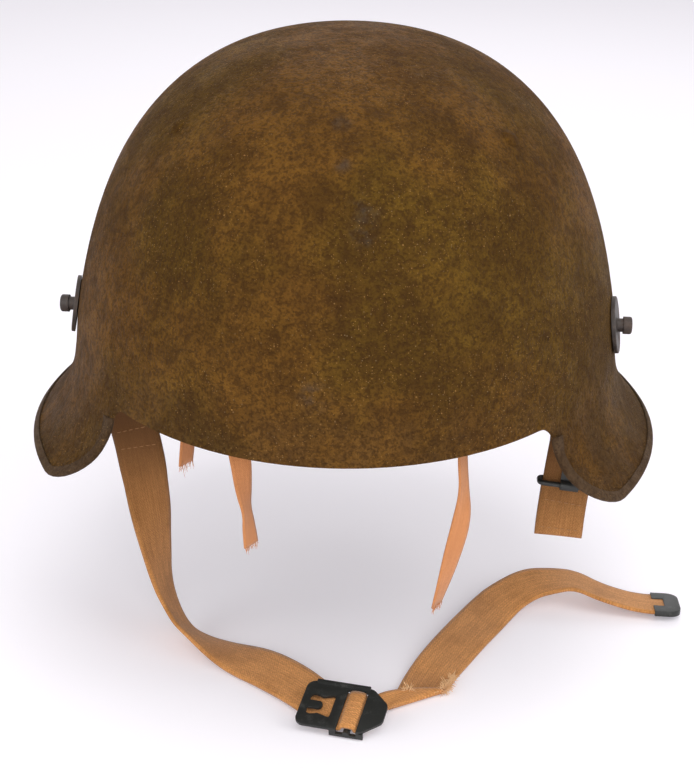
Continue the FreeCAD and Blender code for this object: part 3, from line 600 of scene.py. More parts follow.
@dataclass(frozen=True)
class ClothFinish:
    """Cotton weave with dirty patches and threads of uneven colour; darker between the threads as painted
    shade, and, on the straps, darker towards the top as painted shade under the shell.
    """

    name: str
    clean: Colour
    soil_and_shade_tone: Colour
    warp: float
    weft: float
    depth: float = 0.16 * MM
    dirt: float = 0.42
    sheen: float = 0.2
    # The colour darkens towards the top between these two heights, in metres: painted shade from the shell
    # above the straps.
    shade_full_above: float = 1.0
    shade_free_below: float = 0.9
    dirt_waves: float = 45.0
    yarn_waves: float = 900.0
    fuzz_waves: float = 1100.0
    dirt_share: float = 0.6
    gap_shade_share: float = 0.36
    gap_shade_tone_share: float = 0.55
    painted_shade_share: float = 0.95
    painted_shade_tone_share: float = 0.24

    def build(self) -> bpy.types.Material:
        """Makes the material.

        Returns:
            The material.
        """
        writer, shader = new_material(self.name)
        place = writer.cloth_place()
        woven = effect(writer, "weave", place=place, warp=self.warp, weft=self.weft)
        dirt = effect(writer, "grime", place=place, clouds=self.dirt_waves, grain=600.0,
                      cover=self.dirt)
        streak = writer.node("ShaderNodeMapping")
        streak.inputs["Scale"].default_value = (1.0, 0.06, 1.0)
        writer.feed(streak.inputs["Vector"], place)
        yarn = writer.limits(writer.noise(streak.outputs[0], self.yarn_waves, 2.0), 0.3, 0.7, 0.0, 0.34)
        fuzz = writer.limits(writer.noise(place, self.fuzz_waves, 3.0, 0.7), 0.62, 0.34, 0.0, 0.45)
        colour = writer.mix(writer.sum("ADD", yarn, fuzz), self.clean, self.soil_and_shade_tone)
        patches = writer.sum("MULTIPLY", dirt.outputs["Mask"], self.dirt_share)
        colour = writer.mix(patches, colour, self.soil_and_shade_tone)
        # Darker where the weave is low, between the threads: painted shade in the gaps.
        gap = writer.limits(woven.outputs["Thread"], 0.0, 1.0, self.gap_shade_share, 0.0)
        colour = writer.mix(gap, colour, tuple(part * self.gap_shade_tone_share for part in self.soil_and_shade_tone))
        # Darker towards the top, near the helmet: painted shade that the shell casts on the straps.
        split = writer.node("ShaderNodeSeparateXYZ")
        writer.feed(split.inputs[0], writer.place())
        painted_shade = writer.limits(split.outputs[2], self.shade_free_below, self.shade_full_above, 0.0,
                              self.painted_shade_share)
        colour = writer.mix(painted_shade, colour, tuple(part * self.painted_shade_tone_share for part in self.soil_and_shade_tone))
        writer.feed(shader.inputs["Base Color"], colour)
        writer.feed(shader.inputs["Normal"], writer.bump(woven.outputs["Height"], self.depth))
        shader.inputs["Roughness"].default_value = 0.88
        shader.inputs["Sheen Weight"].default_value = self.sheen
        shader.inputs["Specular IOR Level"].default_value = 0.18
        return writer.material


@dataclass(frozen=True)
class HideFinish:
    """Dry leather or fibre with fine creases and rubbed lighter places, darker in the low hollows of the
    crease pattern as painted shade.
    """

    name: str
    deep: Colour
    rubbed: Colour
    crease: float = 260.0
    depth: float = 0.35 * MM
    worn_waves: float = 42.0
    fold_waves: float = 60.0

    def build(self) -> bpy.types.Material:
        """Makes the material.

        Returns:
            The material.
        """
        writer, shader = new_material(self.name)
        place = writer.place()
        worn = effect(writer, "grime", place=place, clouds=self.worn_waves, grain=500.0, cover=0.5)
        cells = writer.cells(place, self.crease)
        wrinkle = writer.limits(cells.outputs["Distance"], 0.05, 0.55)
        colour = writer.mix(worn.outputs["Mask"], self.deep, self.rubbed)
        # Towards the deep colour where the crease pattern is low: painted shade in its hollows.
        colour = writer.mix(writer.sum("MULTIPLY", wrinkle, 0.3), self.deep, colour)
        writer.feed(shader.inputs["Base Color"], colour)
        folds = writer.noise(place, self.fold_waves, 4.0, 0.6)
        height = writer.sum("ADD", writer.sum("MULTIPLY", folds, 1.6), wrinkle)
        writer.feed(shader.inputs["Normal"], writer.bump(height, self.depth))
        writer.feed(shader.inputs["Roughness"], writer.limits(worn.outputs["Mask"], 0, 1, 0.72, 0.55))
        return writer.material


@dataclass(frozen=True)
class Finishes:
    """Every finish of the helmet, by its slot in the record."""

    made: dict[str, bpy.types.Material] = field(default_factory=dict)

    def build(self) -> "Finishes":
        """Makes the shared effects and all the materials.

        Returns:
            Itself, with the materials made.
        """
        GROUPS["grime"] = grime_group()
        GROUPS["weave"] = weave_group()
        smudges = ((0.001, -0.062, 0.101, 0.006), (0.003, -0.077, 0.088, 0.005),
                   (0.012, -0.087, 0.073, 0.009), (0.012, -0.092, 0.065, 0.009),
                   (-0.004, -0.1145, 0.007, 0.009))
        plans = [
            PaintFinish("shell_paint", smudges=smudges),
            PaintFinish("rim_paint", fresh=(0.078, 0.042, 0.018), stain_and_shade_tone=(0.034, 0.018, 0.008),
                        olive=(0.066, 0.036, 0.012), dust_and_sheen_tone=(0.100, 0.064, 0.038),
                        grit=0.7 * MM, fleck_share=0.3),
            SteelFinish("dark_steel", dark=(0.036, 0.028, 0.024), worn=(0.120, 0.092, 0.075),
                        rust=(0.062, 0.034, 0.020), rust_share=0.42, metal=0.4, rough=0.5),
            SteelFinish("worn_steel", dark=(0.085, 0.070, 0.060), worn=(0.30, 0.27, 0.24),
                        rust=(0.10, 0.05, 0.028), wear=0.45),
            SteelFinish("black_steel", dark=(0.024, 0.025, 0.023), worn=(0.085, 0.085, 0.080),
                        wear=0.32, rust_share=0.10, metal=0.3, rough=0.46),
            SteelFinish("black_edge", dark=(0.045, 0.045, 0.043), worn=(0.42, 0.41, 0.40),
                        wear=0.55, rust_share=0.10, metal=0.7, rough=0.38),
            # The webbing darkens from -150 mm up to -46 mm: painted shade under the shell.
            ClothFinish("webbing", clean=(0.880, 0.405, 0.135), soil_and_shade_tone=(0.370, 0.150, 0.038),
                        warp=820.0, weft=620.0, shade_free_below=-0.150, shade_full_above=-0.046),
            ClothFinish("tape", clean=(0.700, 0.295, 0.115), soil_and_shade_tone=(0.500, 0.190, 0.065),
                        warp=1150.0, weft=1000.0, depth=0.12 * MM),
            ClothFinish("canvas", clean=(0.330, 0.255, 0.150), soil_and_shade_tone=(0.190, 0.140, 0.080),
                        warp=1000.0, weft=1000.0),
            HideFinish("pad_leather", deep=(0.130, 0.062, 0.028), rubbed=(0.270, 0.150, 0.075)),
            HideFinish("packing", deep=(0.075, 0.050, 0.034), rubbed=(0.130, 0.092, 0.062),
                       crease=900.0, depth=0.1 * MM),
        ]
        for plan in plans:
            self.made[plan.name] = plan.build()
        return self

    def on_node(self, node: str, slot: str) -> None:
        """Puts a finish on a CAD node that stays.

        Args:
            node: Name of the CAD node.
            slot: Finish's slot in the record.
        """
        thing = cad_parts[node]
        if not thing.material_slots:
            thing.data.materials.append(self.made[slot])
        for place in thing.material_slots:
            place.material = self.made[slot]


@dataclass
class Band:
    """Flat woven band along listed rows: middle point, then the way across it."""

    name: str
    node: str
    body: Body
    cloth: Cloth
    rows: list[tuple[float, ...]]
    width: float
    thickness: float
    detail: int = 10
    columns: int = 10
    ripple: float = 0.25 * MM
    still: Vector | None = None
    still_reach: float = 24.0 * MM
    ripples_across: float = 45.0
    ripples_along: float = 55.0
    line: list[Vector] = field(default_factory=list)
    left: list[Vector] = field(default_factory=list)
    right: list[Vector] = field(default_factory=list)

    def rails(self) -> None:
        """Reads the middle line and both edges from their curves."""
        middles = points_of(self.rows)
        ways = [Vector(row[3:6]) * self.width / 2 for row in self.rows]
        self.line = nurbs_line(middles, self.detail)
        self.left = nurbs_line([spot - way for spot, way in zip(middles, ways)], self.detail)
        self.right = nurbs_line([spot + way for spot, way in zip(middles, ways)], self.detail)

    def sheet(self) -> bmesh.types.BMesh:
        """Single layer of quads between the edges, with cloth coordinates in metres.

        Returns:
            The layer, in metres.
        """
        grid, made, gone = [], bmesh.new(), 0.0
        chart = made.loops.layers.uv.new("cloth")
        spots = {}
        for number, (low, high) in enumerate(zip(self.left, self.right)):
            if number:
                gone += (self.line[number] - self.line[number - 1]).length
            row = []
            for column in range(self.columns + 1):
                share = column / self.columns
                vertex = made.verts.new(low.lerp(high, share))
                spots[vertex] = (share * self.width, gone)
                row.append(vertex)
            grid.append(row)
        for before, after in zip(grid, grid[1:]):
            for column in range(self.columns):
                face = made.faces.new((before[column], before[column + 1],
                                       after[column + 1], after[column]))
                face.smooth = True
                for loop in face.loops:
                    loop[chart].uv = spots[loop.vert]
        made.normal_update()
        for vertex, (across, along) in spots.items():
            wave = noise.noise(Vector((across * self.ripples_across, along * self.ripples_along,
                                      len(self.name))))
            vertex.co += vertex.normal * wave * self.ripple * self.calm(vertex.co)
        return made

    def calm(self, spot: Vector) -> float:
        """Share of the ripple that is left at a spot: none where a fitting holds the band flat.

        Args:
            spot: Point of the band, in metres.

        Returns:
            A share from 0 to 1.
        """
        if self.still is None:
            return 1.0
        return min(1.0, max(0.0, 2.0 * (spot - self.still).length / self.still_reach - 1.0))

    def build(self, finish: bpy.types.Material) -> bpy.types.Object:
        """Makes the band with its thickness and finish, on its body.

        Args:
            finish: Material of the piece.

        Returns:
            The finished band.
        """
        self.rails()
        layer = self.sheet()
        mesh = bpy.data.meshes.new(self.name)
        layer.to_mesh(mesh)
        layer.free()
        piece = linked(self.name, mesh)
        apply_modifier(piece, "SOLIDIFY", thickness=self.thickness, offset=0.0)
        dressed(piece, finish)
        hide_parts(self.node)
        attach(piece, self.body.value)
        return piece


CHIN_STRAP_ROWS = [
    (-95.4, 1.0, -58.8, 0.94, 0, 0.34), (-97.4, 1.1, -53.1, 0.94, 0, 0.34),
    (-99.5, 2.3, -47.5, 0.94, 0, 0.34), (-101.88, 2.5, -40.82, 0.91, 0, 0.33),
    (-101.88, -2.5, -40.82, 0.91, 0, 0.33), (-99.5, -2.3, -47.5, 0.94, 0, 0.34),
    (-97.3, -1.1, -54.0, 0.95, 0, 0.30), (-94.4, -1.0, -66.0, 0.97, 0, 0.24),
    (-92.0, -0.6, -81.0, 1.0, 0, 0.07), (-89.6, 1.5, -103.0, 0.72, 0.70, 0.03),
    (-86.8, 1.5, -124.0, 0.40, 0.92, 0), (-84.8, 1.5, -141.0, 0.16, 0.97, -0.15),
    (-79.5, -3.5, -151.5, 0.12, 0.90, -0.42), (-73.5, -9.5, -158.0, 0.24, 0.80, -0.55),
    (-64.5, -16.0, -160.2, 0.36, 0.81, -0.46), (-54.5, -21.0, -162.8, 0.43, 0.88, -0.20),
    (-45.0, -26.5, -163.6, 0.54, 0.84, 0.06), (-37.0, -32.3, -162.8, 0.56, 0.80, 0.21),
    (-29.0, -38.5, -162.0, 0.56, 0.79, 0.25), (-15.0, -51.0, -161.3, 0.50, 0.83, 0.24),
    (-3.5, -64.5, -160.8, 0.36, 0.90, 0.23),
]
FREE_END_ROWS = [
    (22.5, -65.8, -161.5, 0.227, 0.932, 0.173), (30.5, -57.5, -162.7, 0.59, 0.86, 0.07),
    (39.5, -53.1, -163.35, 1.13, 0.79, 0.01), (39.5, -53.1, -165.25, 1.13, 0.79, 0),
    (42.8, -40.5, -165.25, 0.98, -0.20, 0), (45.5, -32.0, -165.1, 0.93, -0.36, -0.02),
    (50.2, -21.0, -163.9, 0.91, -0.38, -0.14), (61.0, 2.0, -162.9, 0.89, -0.40, -0.20),
    (74.0, 29.0, -162.9, 0.87, -0.45, -0.20), (81.5, 40.0, -160.9, 0.70, -0.70, -0.14),
    (93.5, 48.5, -157.0, 0.38, -0.90, -0.20), (105.3, 48.6, -154.9, 0.12, -0.99, -0.06),
    (116.6, 51.5, -155.8, -0.08, -0.99, 0.08), (129.0, 46.6, -159.1, -0.14, -0.98, 0.15),
    (141.5, 44.4, -161.9, -0.07, -0.99, 0.12),
]
ARCH = [(-5.4, 0.65), (-3.4, 0.65), (-2.9, 2.8), (2.9, 2.8), (3.4, 0.65), (5.4, 0.55)]
SHORT_STRAP_ROWS = [
    (106.1, 1.0, -60.5, 0.995, 0, -0.1), (106.3, 1.1, -55.0, 0.998, 0, -0.06),
    (106.7, 2.3, -49.0, 0.999, 0, -0.05), (107.08, 2.5, -41.87, 0.97, 0, -0.05),
    (107.08, -2.5, -41.87, 0.97, 0, -0.05), (106.7, -2.3, -49.0, 0.999, 0, -0.05),
    (106.3, -1.0, -55.5, 0.998, 0, -0.07), (105.2, -1.0, -65.0, 0.995, 0, -0.1),
    (103.6, -1.0, -80.0, 0.98, 0, -0.18), (102.5, -1.0, -92.0, 0.99, 0, -0.13),
    (101.9, -1.1, -104.6, 0.998, 0, -0.07), (101.9, 1.1, -104.6, 0.998, 0, -0.07),
    (102.5, 1.0, -92.0, 0.99, 0, -0.13), (103.5, 1.0, -80.3, 0.98, 0, -0.18),
]
TAPE_ROWS = {
    "tie_tape_right": [
        (-49, -88.5, 10, 0.90, 0.40, 0), (-45, -91, 0, 0.90, 0.40, 0),
        (-38.5, -96.5, -12, 0.93, 0.37, 0), (-34.4, -100.2, -26, 0.93, 0.37, 0),
        (-33, -100.2, -41, 0.62, 0.78, 0), (-31.6, -100, -50, 0.18, 0.98, 0),
        (-31, -99.5, -58, 0.45, 0.89, 0), (-30.4, -99, -66, 0.50, 0.87, 0)],
    "tie_tape_left": [
        (52, -87.5, 14, 0.55, 0.84, 0), (53, -88, 2, 0.50, 0.87, 0),
        (54, -88.5, -12, 0.42, 0.91, 0), (54.3, -88.5, -27, 0.38, 0.92, 0),
        (55.5, -88, -41, 0.36, 0.93, 0), (55.3, -88, -56, 0.90, 0.44, 0),
        (51.5, -88, -75, 0.80, 0.56, -0.2), (46.5, -88, -96, 0.44, 0.89, -0.1)],
    "tie_tape_rear": [
        (-61, -71, 7, 0.80, 0.60, 0), (-59, -69, -6, 0.72, 0.69, 0),
        (-58.6, -68.2, -18, 0.60, 0.80, 0), (-60, -68.5, -32, 0.55, 0.83, 0),
        (-61.3, -68.5, -45, 0.50, 0.86, 0)],
}


@dataclass
class Threads:
    """Loose threads: thin tapered hairs that grow out of a cloth's edge."""

    name: str
    body: Body
    slot: str
    radius: float = 0.16 * MM
    seed: int = 4
    curl: float = 0.45
    lowest: float = -165.7 * MM
    tufts: list[tuple[Vector, Vector, float, int]] = field(default_factory=list)

    def tuft(self, root: Vector, way: Vector, length: float, count: int) -> None:
        """Adds a bunch of threads at one place.

        Args:
            root: Middle of the bunch.
            way: Direction in which the threads point.
            length: Length of the longest thread.
            count: Number of threads.
        """
        self.tufts.append((root, way.normalized(), length, count))

    def build(self, finish: bpy.types.Material, spread: float) -> bpy.types.Object:
        """Makes all the bunches as one piece of thin tubes.

        Args:
            finish: Material of the piece.
            spread: How far the roots stray, in metres.

        Returns:
            The finished piece.
        """
        chance = random.Random(self.seed)
        curve = bpy.data.curves.new(self.name, "CURVE")
        curve.dimensions = "3D"
        curve.resolution_u = 3
        curve.bevel_depth = self.radius
        curve.bevel_resolution = 0
        for root, way, length, count in self.tufts:
            for _ in range(count):
                stray = Vector([chance.uniform(-1, 1) for _ in range(3)])
                bend = Vector([chance.uniform(-1, 1) for _ in range(3)])
                start = root + stray * spread
                reach = length * chance.uniform(0.35, 1.0)
                spline = curve.splines.new("NURBS")
                spline.points.add(3)
                for step, knot in enumerate(spline.points):
                    share = step / 3
                    sag = Vector((0, 0, -0.25 * share * share))
                    spot = start + (way * share + bend * share * share * self.curl + sag) * reach
                    knot.co = (spot.x, spot.y, max(spot.z, self.lowest), 1.0)
                    knot.radius = 1.0 - 0.6 * share
                spline.order_u = 3
                spline.use_endpoint_u = True
        holder = bpy.data.objects.new(self.name, curve)
        bpy.context.scene.collection.objects.link(holder)
        select_only(holder)
        bpy.ops.object.convert(target="MESH")
        piece = bpy.context.active_object
        piece.name = self.name
        smoothed(piece, 60.0)
        dressed(piece, finish)
        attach(piece, self.body.value)
        return piece


@dataclass
class Stitching:
    """Rows of short sewn threads, each a flattened bead that lies on the cloth."""

    name: str
    body: Body
    slot: str
    length: float = 2.0 * MM
    width: float = 0.55 * MM
    spots: list[tuple[Vector, Vector, Vector]] = field(default_factory=list)

    def row(self, start: Vector, stop: Vector, out: Vector, gap: float) -> None:
        """Adds a straight row of stitches from one point to another.

        Args:
            start: First point of the row, on the cloth.
            stop: Last point of the row.
            out: Direction away from the cloth.
            gap: Space between neighbouring stitches.
        """
        whole = (stop - start).length
        count = max(1, round(whole / (self.length + gap)))
        for number in range(count):
            share = (number + 0.5) / count
            self.spots.append((start.lerp(stop, share), (stop - start).normalized(),
                               out.normalized()))

    def build(self, finish: bpy.types.Material) -> bpy.types.Object:
        """Models one stitch and copies its mesh along the rows.

        Args:
            finish: Material of the piece.

        Returns:
            The finished piece.
        """
        select_none()
        bpy.ops.mesh.primitive_cylinder_add(vertices=8, radius=self.width / 2, depth=self.length,
                                            end_fill_type="TRIFAN")
        bead = bpy.context.active_object
        bpy.ops.object.mode_set(mode="EDIT")
        bpy.ops.mesh.select_all(action="SELECT")
        bpy.ops.mesh.subdivide(number_cuts=1)
        bpy.ops.object.mode_set(mode="OBJECT")
        for vertex in bead.data.vertices:
            share = vertex.co.z / (self.length / 2)
            thin = math.sqrt(max(0.16, 1 - share ** 2))
            vertex.co.x *= thin
            vertex.co.y *= thin * 0.7
        whole = bmesh.new()
        for spot, along, out in self.spots:
            side = out.cross(along).normalized()
            turn = Matrix((side, out, along)).transposed().to_4x4()
            turn.translation = spot
            copy = bead.data.copy()
            copy.transform(turn)
            whole.from_mesh(copy)
            bpy.data.meshes.remove(copy)
        mesh = bpy.data.meshes.new(self.name)
        bmesh.ops.recalc_face_normals(whole, faces=whole.faces)
        whole.to_mesh(mesh)
        whole.free()
        bpy.data.objects.remove(bead)
        piece = linked(self.name, mesh)
        smoothed(piece, 60.0)
        dressed(piece, finish)
        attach(piece, self.body.value)
        return piece


def select_none() -> None:
    """Deselects every object."""
    bpy.ops.object.select_all(action="DESELECT")


def thread_finish() -> ClothFinish:
    """Finish of sewing thread, about as dark as the worn webbing."""
    return ClothFinish("thread", clean=(0.38, 0.20, 0.085), soil_and_shade_tone=(0.26, 0.12, 0.045),
                       warp=2500.0, weft=2500.0, depth=0.03 * MM)


def fray_finish() -> ClothFinish:
    """Finish of the loose straw-coloured threads at the strap's fold."""
    return ClothFinish("fray", clean=(0.93, 0.64, 0.36), soil_and_shade_tone=(0.70, 0.42, 0.20),
                       warp=2500.0, weft=2500.0, depth=0.03 * MM)


@dataclass
class ChinStrap:
    """Long strap with its buckle and metal tip."""

    width: float = 22.0 * MM
    thickness: float = 1.5 * MM
    length: float = 0.483
    loop: Vector = field(default_factory=lambda: Vector((-101.9, 0, -40.8)) * MM)
    bar: Vector = field(default_factory=lambda: Vector((11.7, -72.8, -161.3)))
    heading: float = math.radians(-11.0)
    bank: float = math.radians(13.0)
    tip: Vector = field(default_factory=lambda: Vector((155.0, 43.8, -163.1)))
    tip_bank: float = math.radians(-6.0)
    tip_pitch: float = math.radians(0.5)
    tip_stops: tuple[float, ...] = (-4.0, 4.0, 8.15)
    seam_heights: tuple[float, ...] = (-60.0, -68.0)
    stitch_lift: float = 0.12 * MM
    stitch_gap: float = 0.9 * MM
    tangles: tuple[tuple[str, Vector, Vector, float, int], ...] = (
        ("right", Vector((51.9, -44.4, -165.2)), Vector((56.5, -32.0, -165.0)), 3.2 * MM, 15),
        ("right", Vector((33.5, -49.5, -161.5)), Vector((37.5, -47.2, -162.5)), 2.2 * MM, 13),
        ("left", Vector((29.0, -62.5, -164.0)), Vector((33.0, -61.0, -164.5)), 1.2 * MM, 4))

    def rows(self) -> list[tuple[float, ...]]:
        """All rows of the strap: down from the loop, over the crossbar, and out to the tip.

        Returns:
            Every row, in millimetres.
        """
        run = Vector((math.cos(self.heading), math.sin(self.heading), 0))
        side = Vector((-math.sin(self.heading) * math.cos(self.bank),
                       math.cos(self.heading) * math.cos(self.bank), math.sin(self.bank)))
        rise = run.cross(side)
        arch = [(*(self.bar + run * along + rise * up), *side) for along, up in ARCH]
        turn = (Matrix.Rotation(self.tip_pitch, 3, "Y") @ Matrix.Rotation(self.tip_bank, 3, "X"))
        edge = turn @ Vector((0, -1, 0))
        end = [(*(self.tip + turn @ Vector((along, 0, 0))), *edge) for along in self.tip_stops]
        return CHIN_STRAP_ROWS + arch + FREE_END_ROWS + end

    def build(self, finishes: Finishes, fittings: dict[str, bpy.types.Object]) -> None:
        """Args:
            finishes: All the finishes, by slot.
            fittings: Finished fittings, by node; not used.
        """
        band = Band("chin_strap_webbing", "chin_strap", Body.LONG_STRAP, Cloth.WEBBING,
                    self.rows(), self.width, self.thickness, still=self.bar * MM)
        piece = band.build(finishes.made["webbing"])
        sewing = self.sew(band, finishes)
        frayed = self.fray(band, finishes)
        LOG.info("chin strap: %.1f mm of webbing", length_of(band.line) / MM)

    def sew(self, band: Band, finishes: Finishes) -> bpy.types.Object:
        """Two rows of stitches that close the loop under the bracket, on the front layer.

        Args:
            band: The band that is worked on.
            finishes: All the finishes, by slot.

        Returns:
            The row of stitches.
        """
        sewing = Stitching("chin_strap_stitches", Body.LONG_STRAP, "webbing")
        for drop in self.seam_heights:
            near = min(range(len(band.line)), key=lambda spot: abs(band.line[spot].z / MM - drop)
                       + (0 if spot > 40 else 1000))
            low, high = band.left[near], band.right[near]
            along = band.line[near + 1] - band.line[near]
            out = (high - low).cross(along).normalized()
            if out.y > 0:
                out = -out
            lift = out * (self.thickness / 2 + self.stitch_lift)
            sewing.row(low.lerp(high, 0.1) + lift, low.lerp(high, 0.9) + lift, out,
                       self.stitch_gap)
        return sewing.build(finishes.made["thread"])

    def fray(self, band: Band, finishes: Finishes) -> bpy.types.Object:
        """Worn edge threads beyond the buckle, where the strap turns back and widens.

        Args:
            band: The strap, with its edges.
            finishes: Where the finish of loose threads is found.

        Returns:
            The tangle of threads along the fold and the worn edges.
        """
        hairs = Threads("chin_strap_frays", Body.LONG_STRAP, "webbing", radius=0.2 * MM, seed=9,
                        curl=1.1)
        for edge, start, stop, length, count in self.tangles:
            first, last = self.nearest(getattr(band, edge), start), self.nearest(getattr(band, edge), stop)
            for number in range(min(first, last), max(first, last) + 1):
                spot = getattr(band, edge)[number]
                way = (spot - band.line[number]).normalized()
                hairs.tuft(spot - way * length * 0.45, way * 0.2 + Vector((0, -0.3, 0.8)), length, count)
        return hairs.build(finishes.made["webbing_thread"], 0.9 * MM)

    def nearest(self, edge: list[Vector], place: Vector) -> int:
        """Finds the point of an edge that lies nearest to a place given in millimetres."""
        return min(range(len(edge)), key=lambda spot: (edge[spot] - place * MM).length)


@dataclass
class ShortStrap:
    """Short strap that hangs from the left loop, turned up at its end into a hem."""

    width: float = 22.0 * MM
    thickness: float = 1.5 * MM
    length: float = 0.1105
    seam_heights: tuple[float, ...] = (-62.5, -87.0, -101.0)
    stitch_lift: float = 0.12 * MM
    stitch_gap: float = 0.9 * MM

    def build(self, finishes: Finishes) -> None:
        """Args:
            finishes: All the finishes, by slot.
        """
        band = Band("short_strap_webbing", "short_strap", Body.SHORT_STRAP, Cloth.WEBBING,
                    SHORT_STRAP_ROWS, self.width, self.thickness)
        piece = band.build(finishes.made["webbing"])
        sewing = Stitching("short_strap_stitches", Body.SHORT_STRAP, "webbing")
        for drop in self.seam_heights:
            near = min(range(len(band.line)), key=lambda spot: abs(band.line[spot].z / MM - drop)
                       + (1000 if band.line[spot].y > 0 else 0))
            low, high = band.left[near], band.right[near]
            lift = Vector((0, -1, 0)) * (self.thickness / 2 + self.stitch_lift)
            sewing.row(low.lerp(high, 0.08) + lift, low.lerp(high, 0.92) + lift,
                       Vector((0, -1, 0)), self.stitch_gap)
        sewn = sewing.build(finishes.made["thread"])
        LOG.info("short strap: %.1f mm of webbing", length_of(band.line) / MM)


@dataclass
class TieTapes:
    """Thin cotton tapes that hang from the pads, frayed at their ends."""

    width: float = 9.0 * MM
    thickness: float = 0.7 * MM
    bunches: int = 9
    threads: int = 4
    lengths: dict[str, float] = field(default_factory=lambda: {
        "tie_tape_right": 0.081, "tie_tape_left": 0.111, "tie_tape_rear": 0.0545})

    def build(self, finishes: Finishes) -> None:
        """Makes each tape with a ragged end.

        Args:
            finishes: All the finishes, by slot.
        """
        for node, rows in TAPE_ROWS.items():
            band = Band(f"{node}_cotton", node, Body.HELMET, Cloth.TAPE, rows, self.width,
                        self.thickness, columns=6, ripple=0.5 * MM)
            piece = band.build(finishes.made["tape"])
            hairs = Threads(f"{node}_fray", Body.HELMET, "tape", radius=0.14 * MM,
                            seed=len(rows) * 3)
            way = band.line[-1] - band.line[-3]
            for number in range(self.bunches):
                share = (number + 0.5) / self.bunches
                root = band.left[-1].lerp(band.right[-1], share) - way.normalized() * 0.6 * MM
                hairs.tuft(root, way, (2.4 + 0.8 * (number % 3)) * MM, self.threads)
            frayed = hairs.build(finishes.made["tape_thread"], 0.35 * MM)
            LOG.info("%s: %.1f mm of tape", node, length_of(band.line) / MM)


@dataclass
class Bowl:
    """The bowl's surface, from the same sizes as the steel shell, in millimetres."""

    half_width: float = 119.7
    half_length: float = 138.4
    set_back: float = 23.0
    crown: float = 122.4
    band_drop: float = 26.0
    squareness: float = 2.39
    lean_top: float = 56.0
    lean_run: float = 111.0
    lean_reach: float = 7.5
    flare_top: float = -24.4
    flare_run: float = 30.6
    flare_reach: float = 14.9
    curl: float = 1.71

    def axes(self, height: float, depth: float) -> tuple[float, float]:
        """Half width and half length of the bowl's oval at one height.

        Args:
            height: Height of the place, in millimetres.
            depth: Depth in metres, or below the outer face in millimetres.

        Returns:
            Half width and half length, in millimetres.
        """
        rise = (height + self.band_drop) / (self.crown - depth + self.band_drop)
        share = (1 - min(max(rise, 0.0), 1.0) ** self.squareness) ** (1 / self.squareness)
        reach = self.lean_reach * max(0.0, (self.lean_top - height) / self.lean_run) ** self.curl
        reach += self.flare_reach * max(0.0, (self.flare_top - height) / self.flare_run) ** self.curl
        return ((self.half_width - depth) * share + reach, (self.half_length - depth) * share + reach)

    def point(self, azimuth: float, height: float, depth: float) -> Vector:
        """Point of the wall. Azimuth 0 is the brow and 90 the wearer's left.

        Args:
            azimuth: Degrees from the brow towards the wearer's left.
            height: Height of the place, in millimetres.
            depth: Depth in metres, or below the outer face in millimetres.

        Returns:
            The point in metres.
        """
        wide, long = self.axes(height, depth)
        turn = math.radians(azimuth)
        reach = 1 / math.hypot(math.sin(turn) / wide, math.cos(turn) / long)
        return Vector((reach * math.sin(turn), self.set_back - reach * math.cos(turn), height)) * MM

    def azimuth(self, ahead: float, height: float) -> float:
        """Azimuth of the wall's point on the wearer's left at one distance behind the origin.

        Args:
            ahead: Distance behind the origin, in millimetres.
            height: Height of the place, in millimetres.

        Returns:
            The azimuth in degrees.
        """
        wide, long = self.axes(height, 0.0)
        share = max(-1.0, min(1.0, (self.set_back - ahead) / long))
        return math.degrees(math.atan2(wide * math.sqrt(1 - share * share), long * share))

    def outward(self, azimuth: float, height: float) -> Vector:
        """Direction in which the wall faces at one place.

        Args:
            azimuth: Degrees from the brow towards the wearer's left.
            height: Height of the place, in millimetres.

        Returns:
            The direction.
        """
        along = self.point(azimuth + 0.5, height, 0.0) - self.point(azimuth - 0.5, height, 0.0)
        upward = self.point(azimuth, height + 0.4, 0.0) - self.point(azimuth, height - 0.4, 0.0)
        return along.cross(upward).normalized()


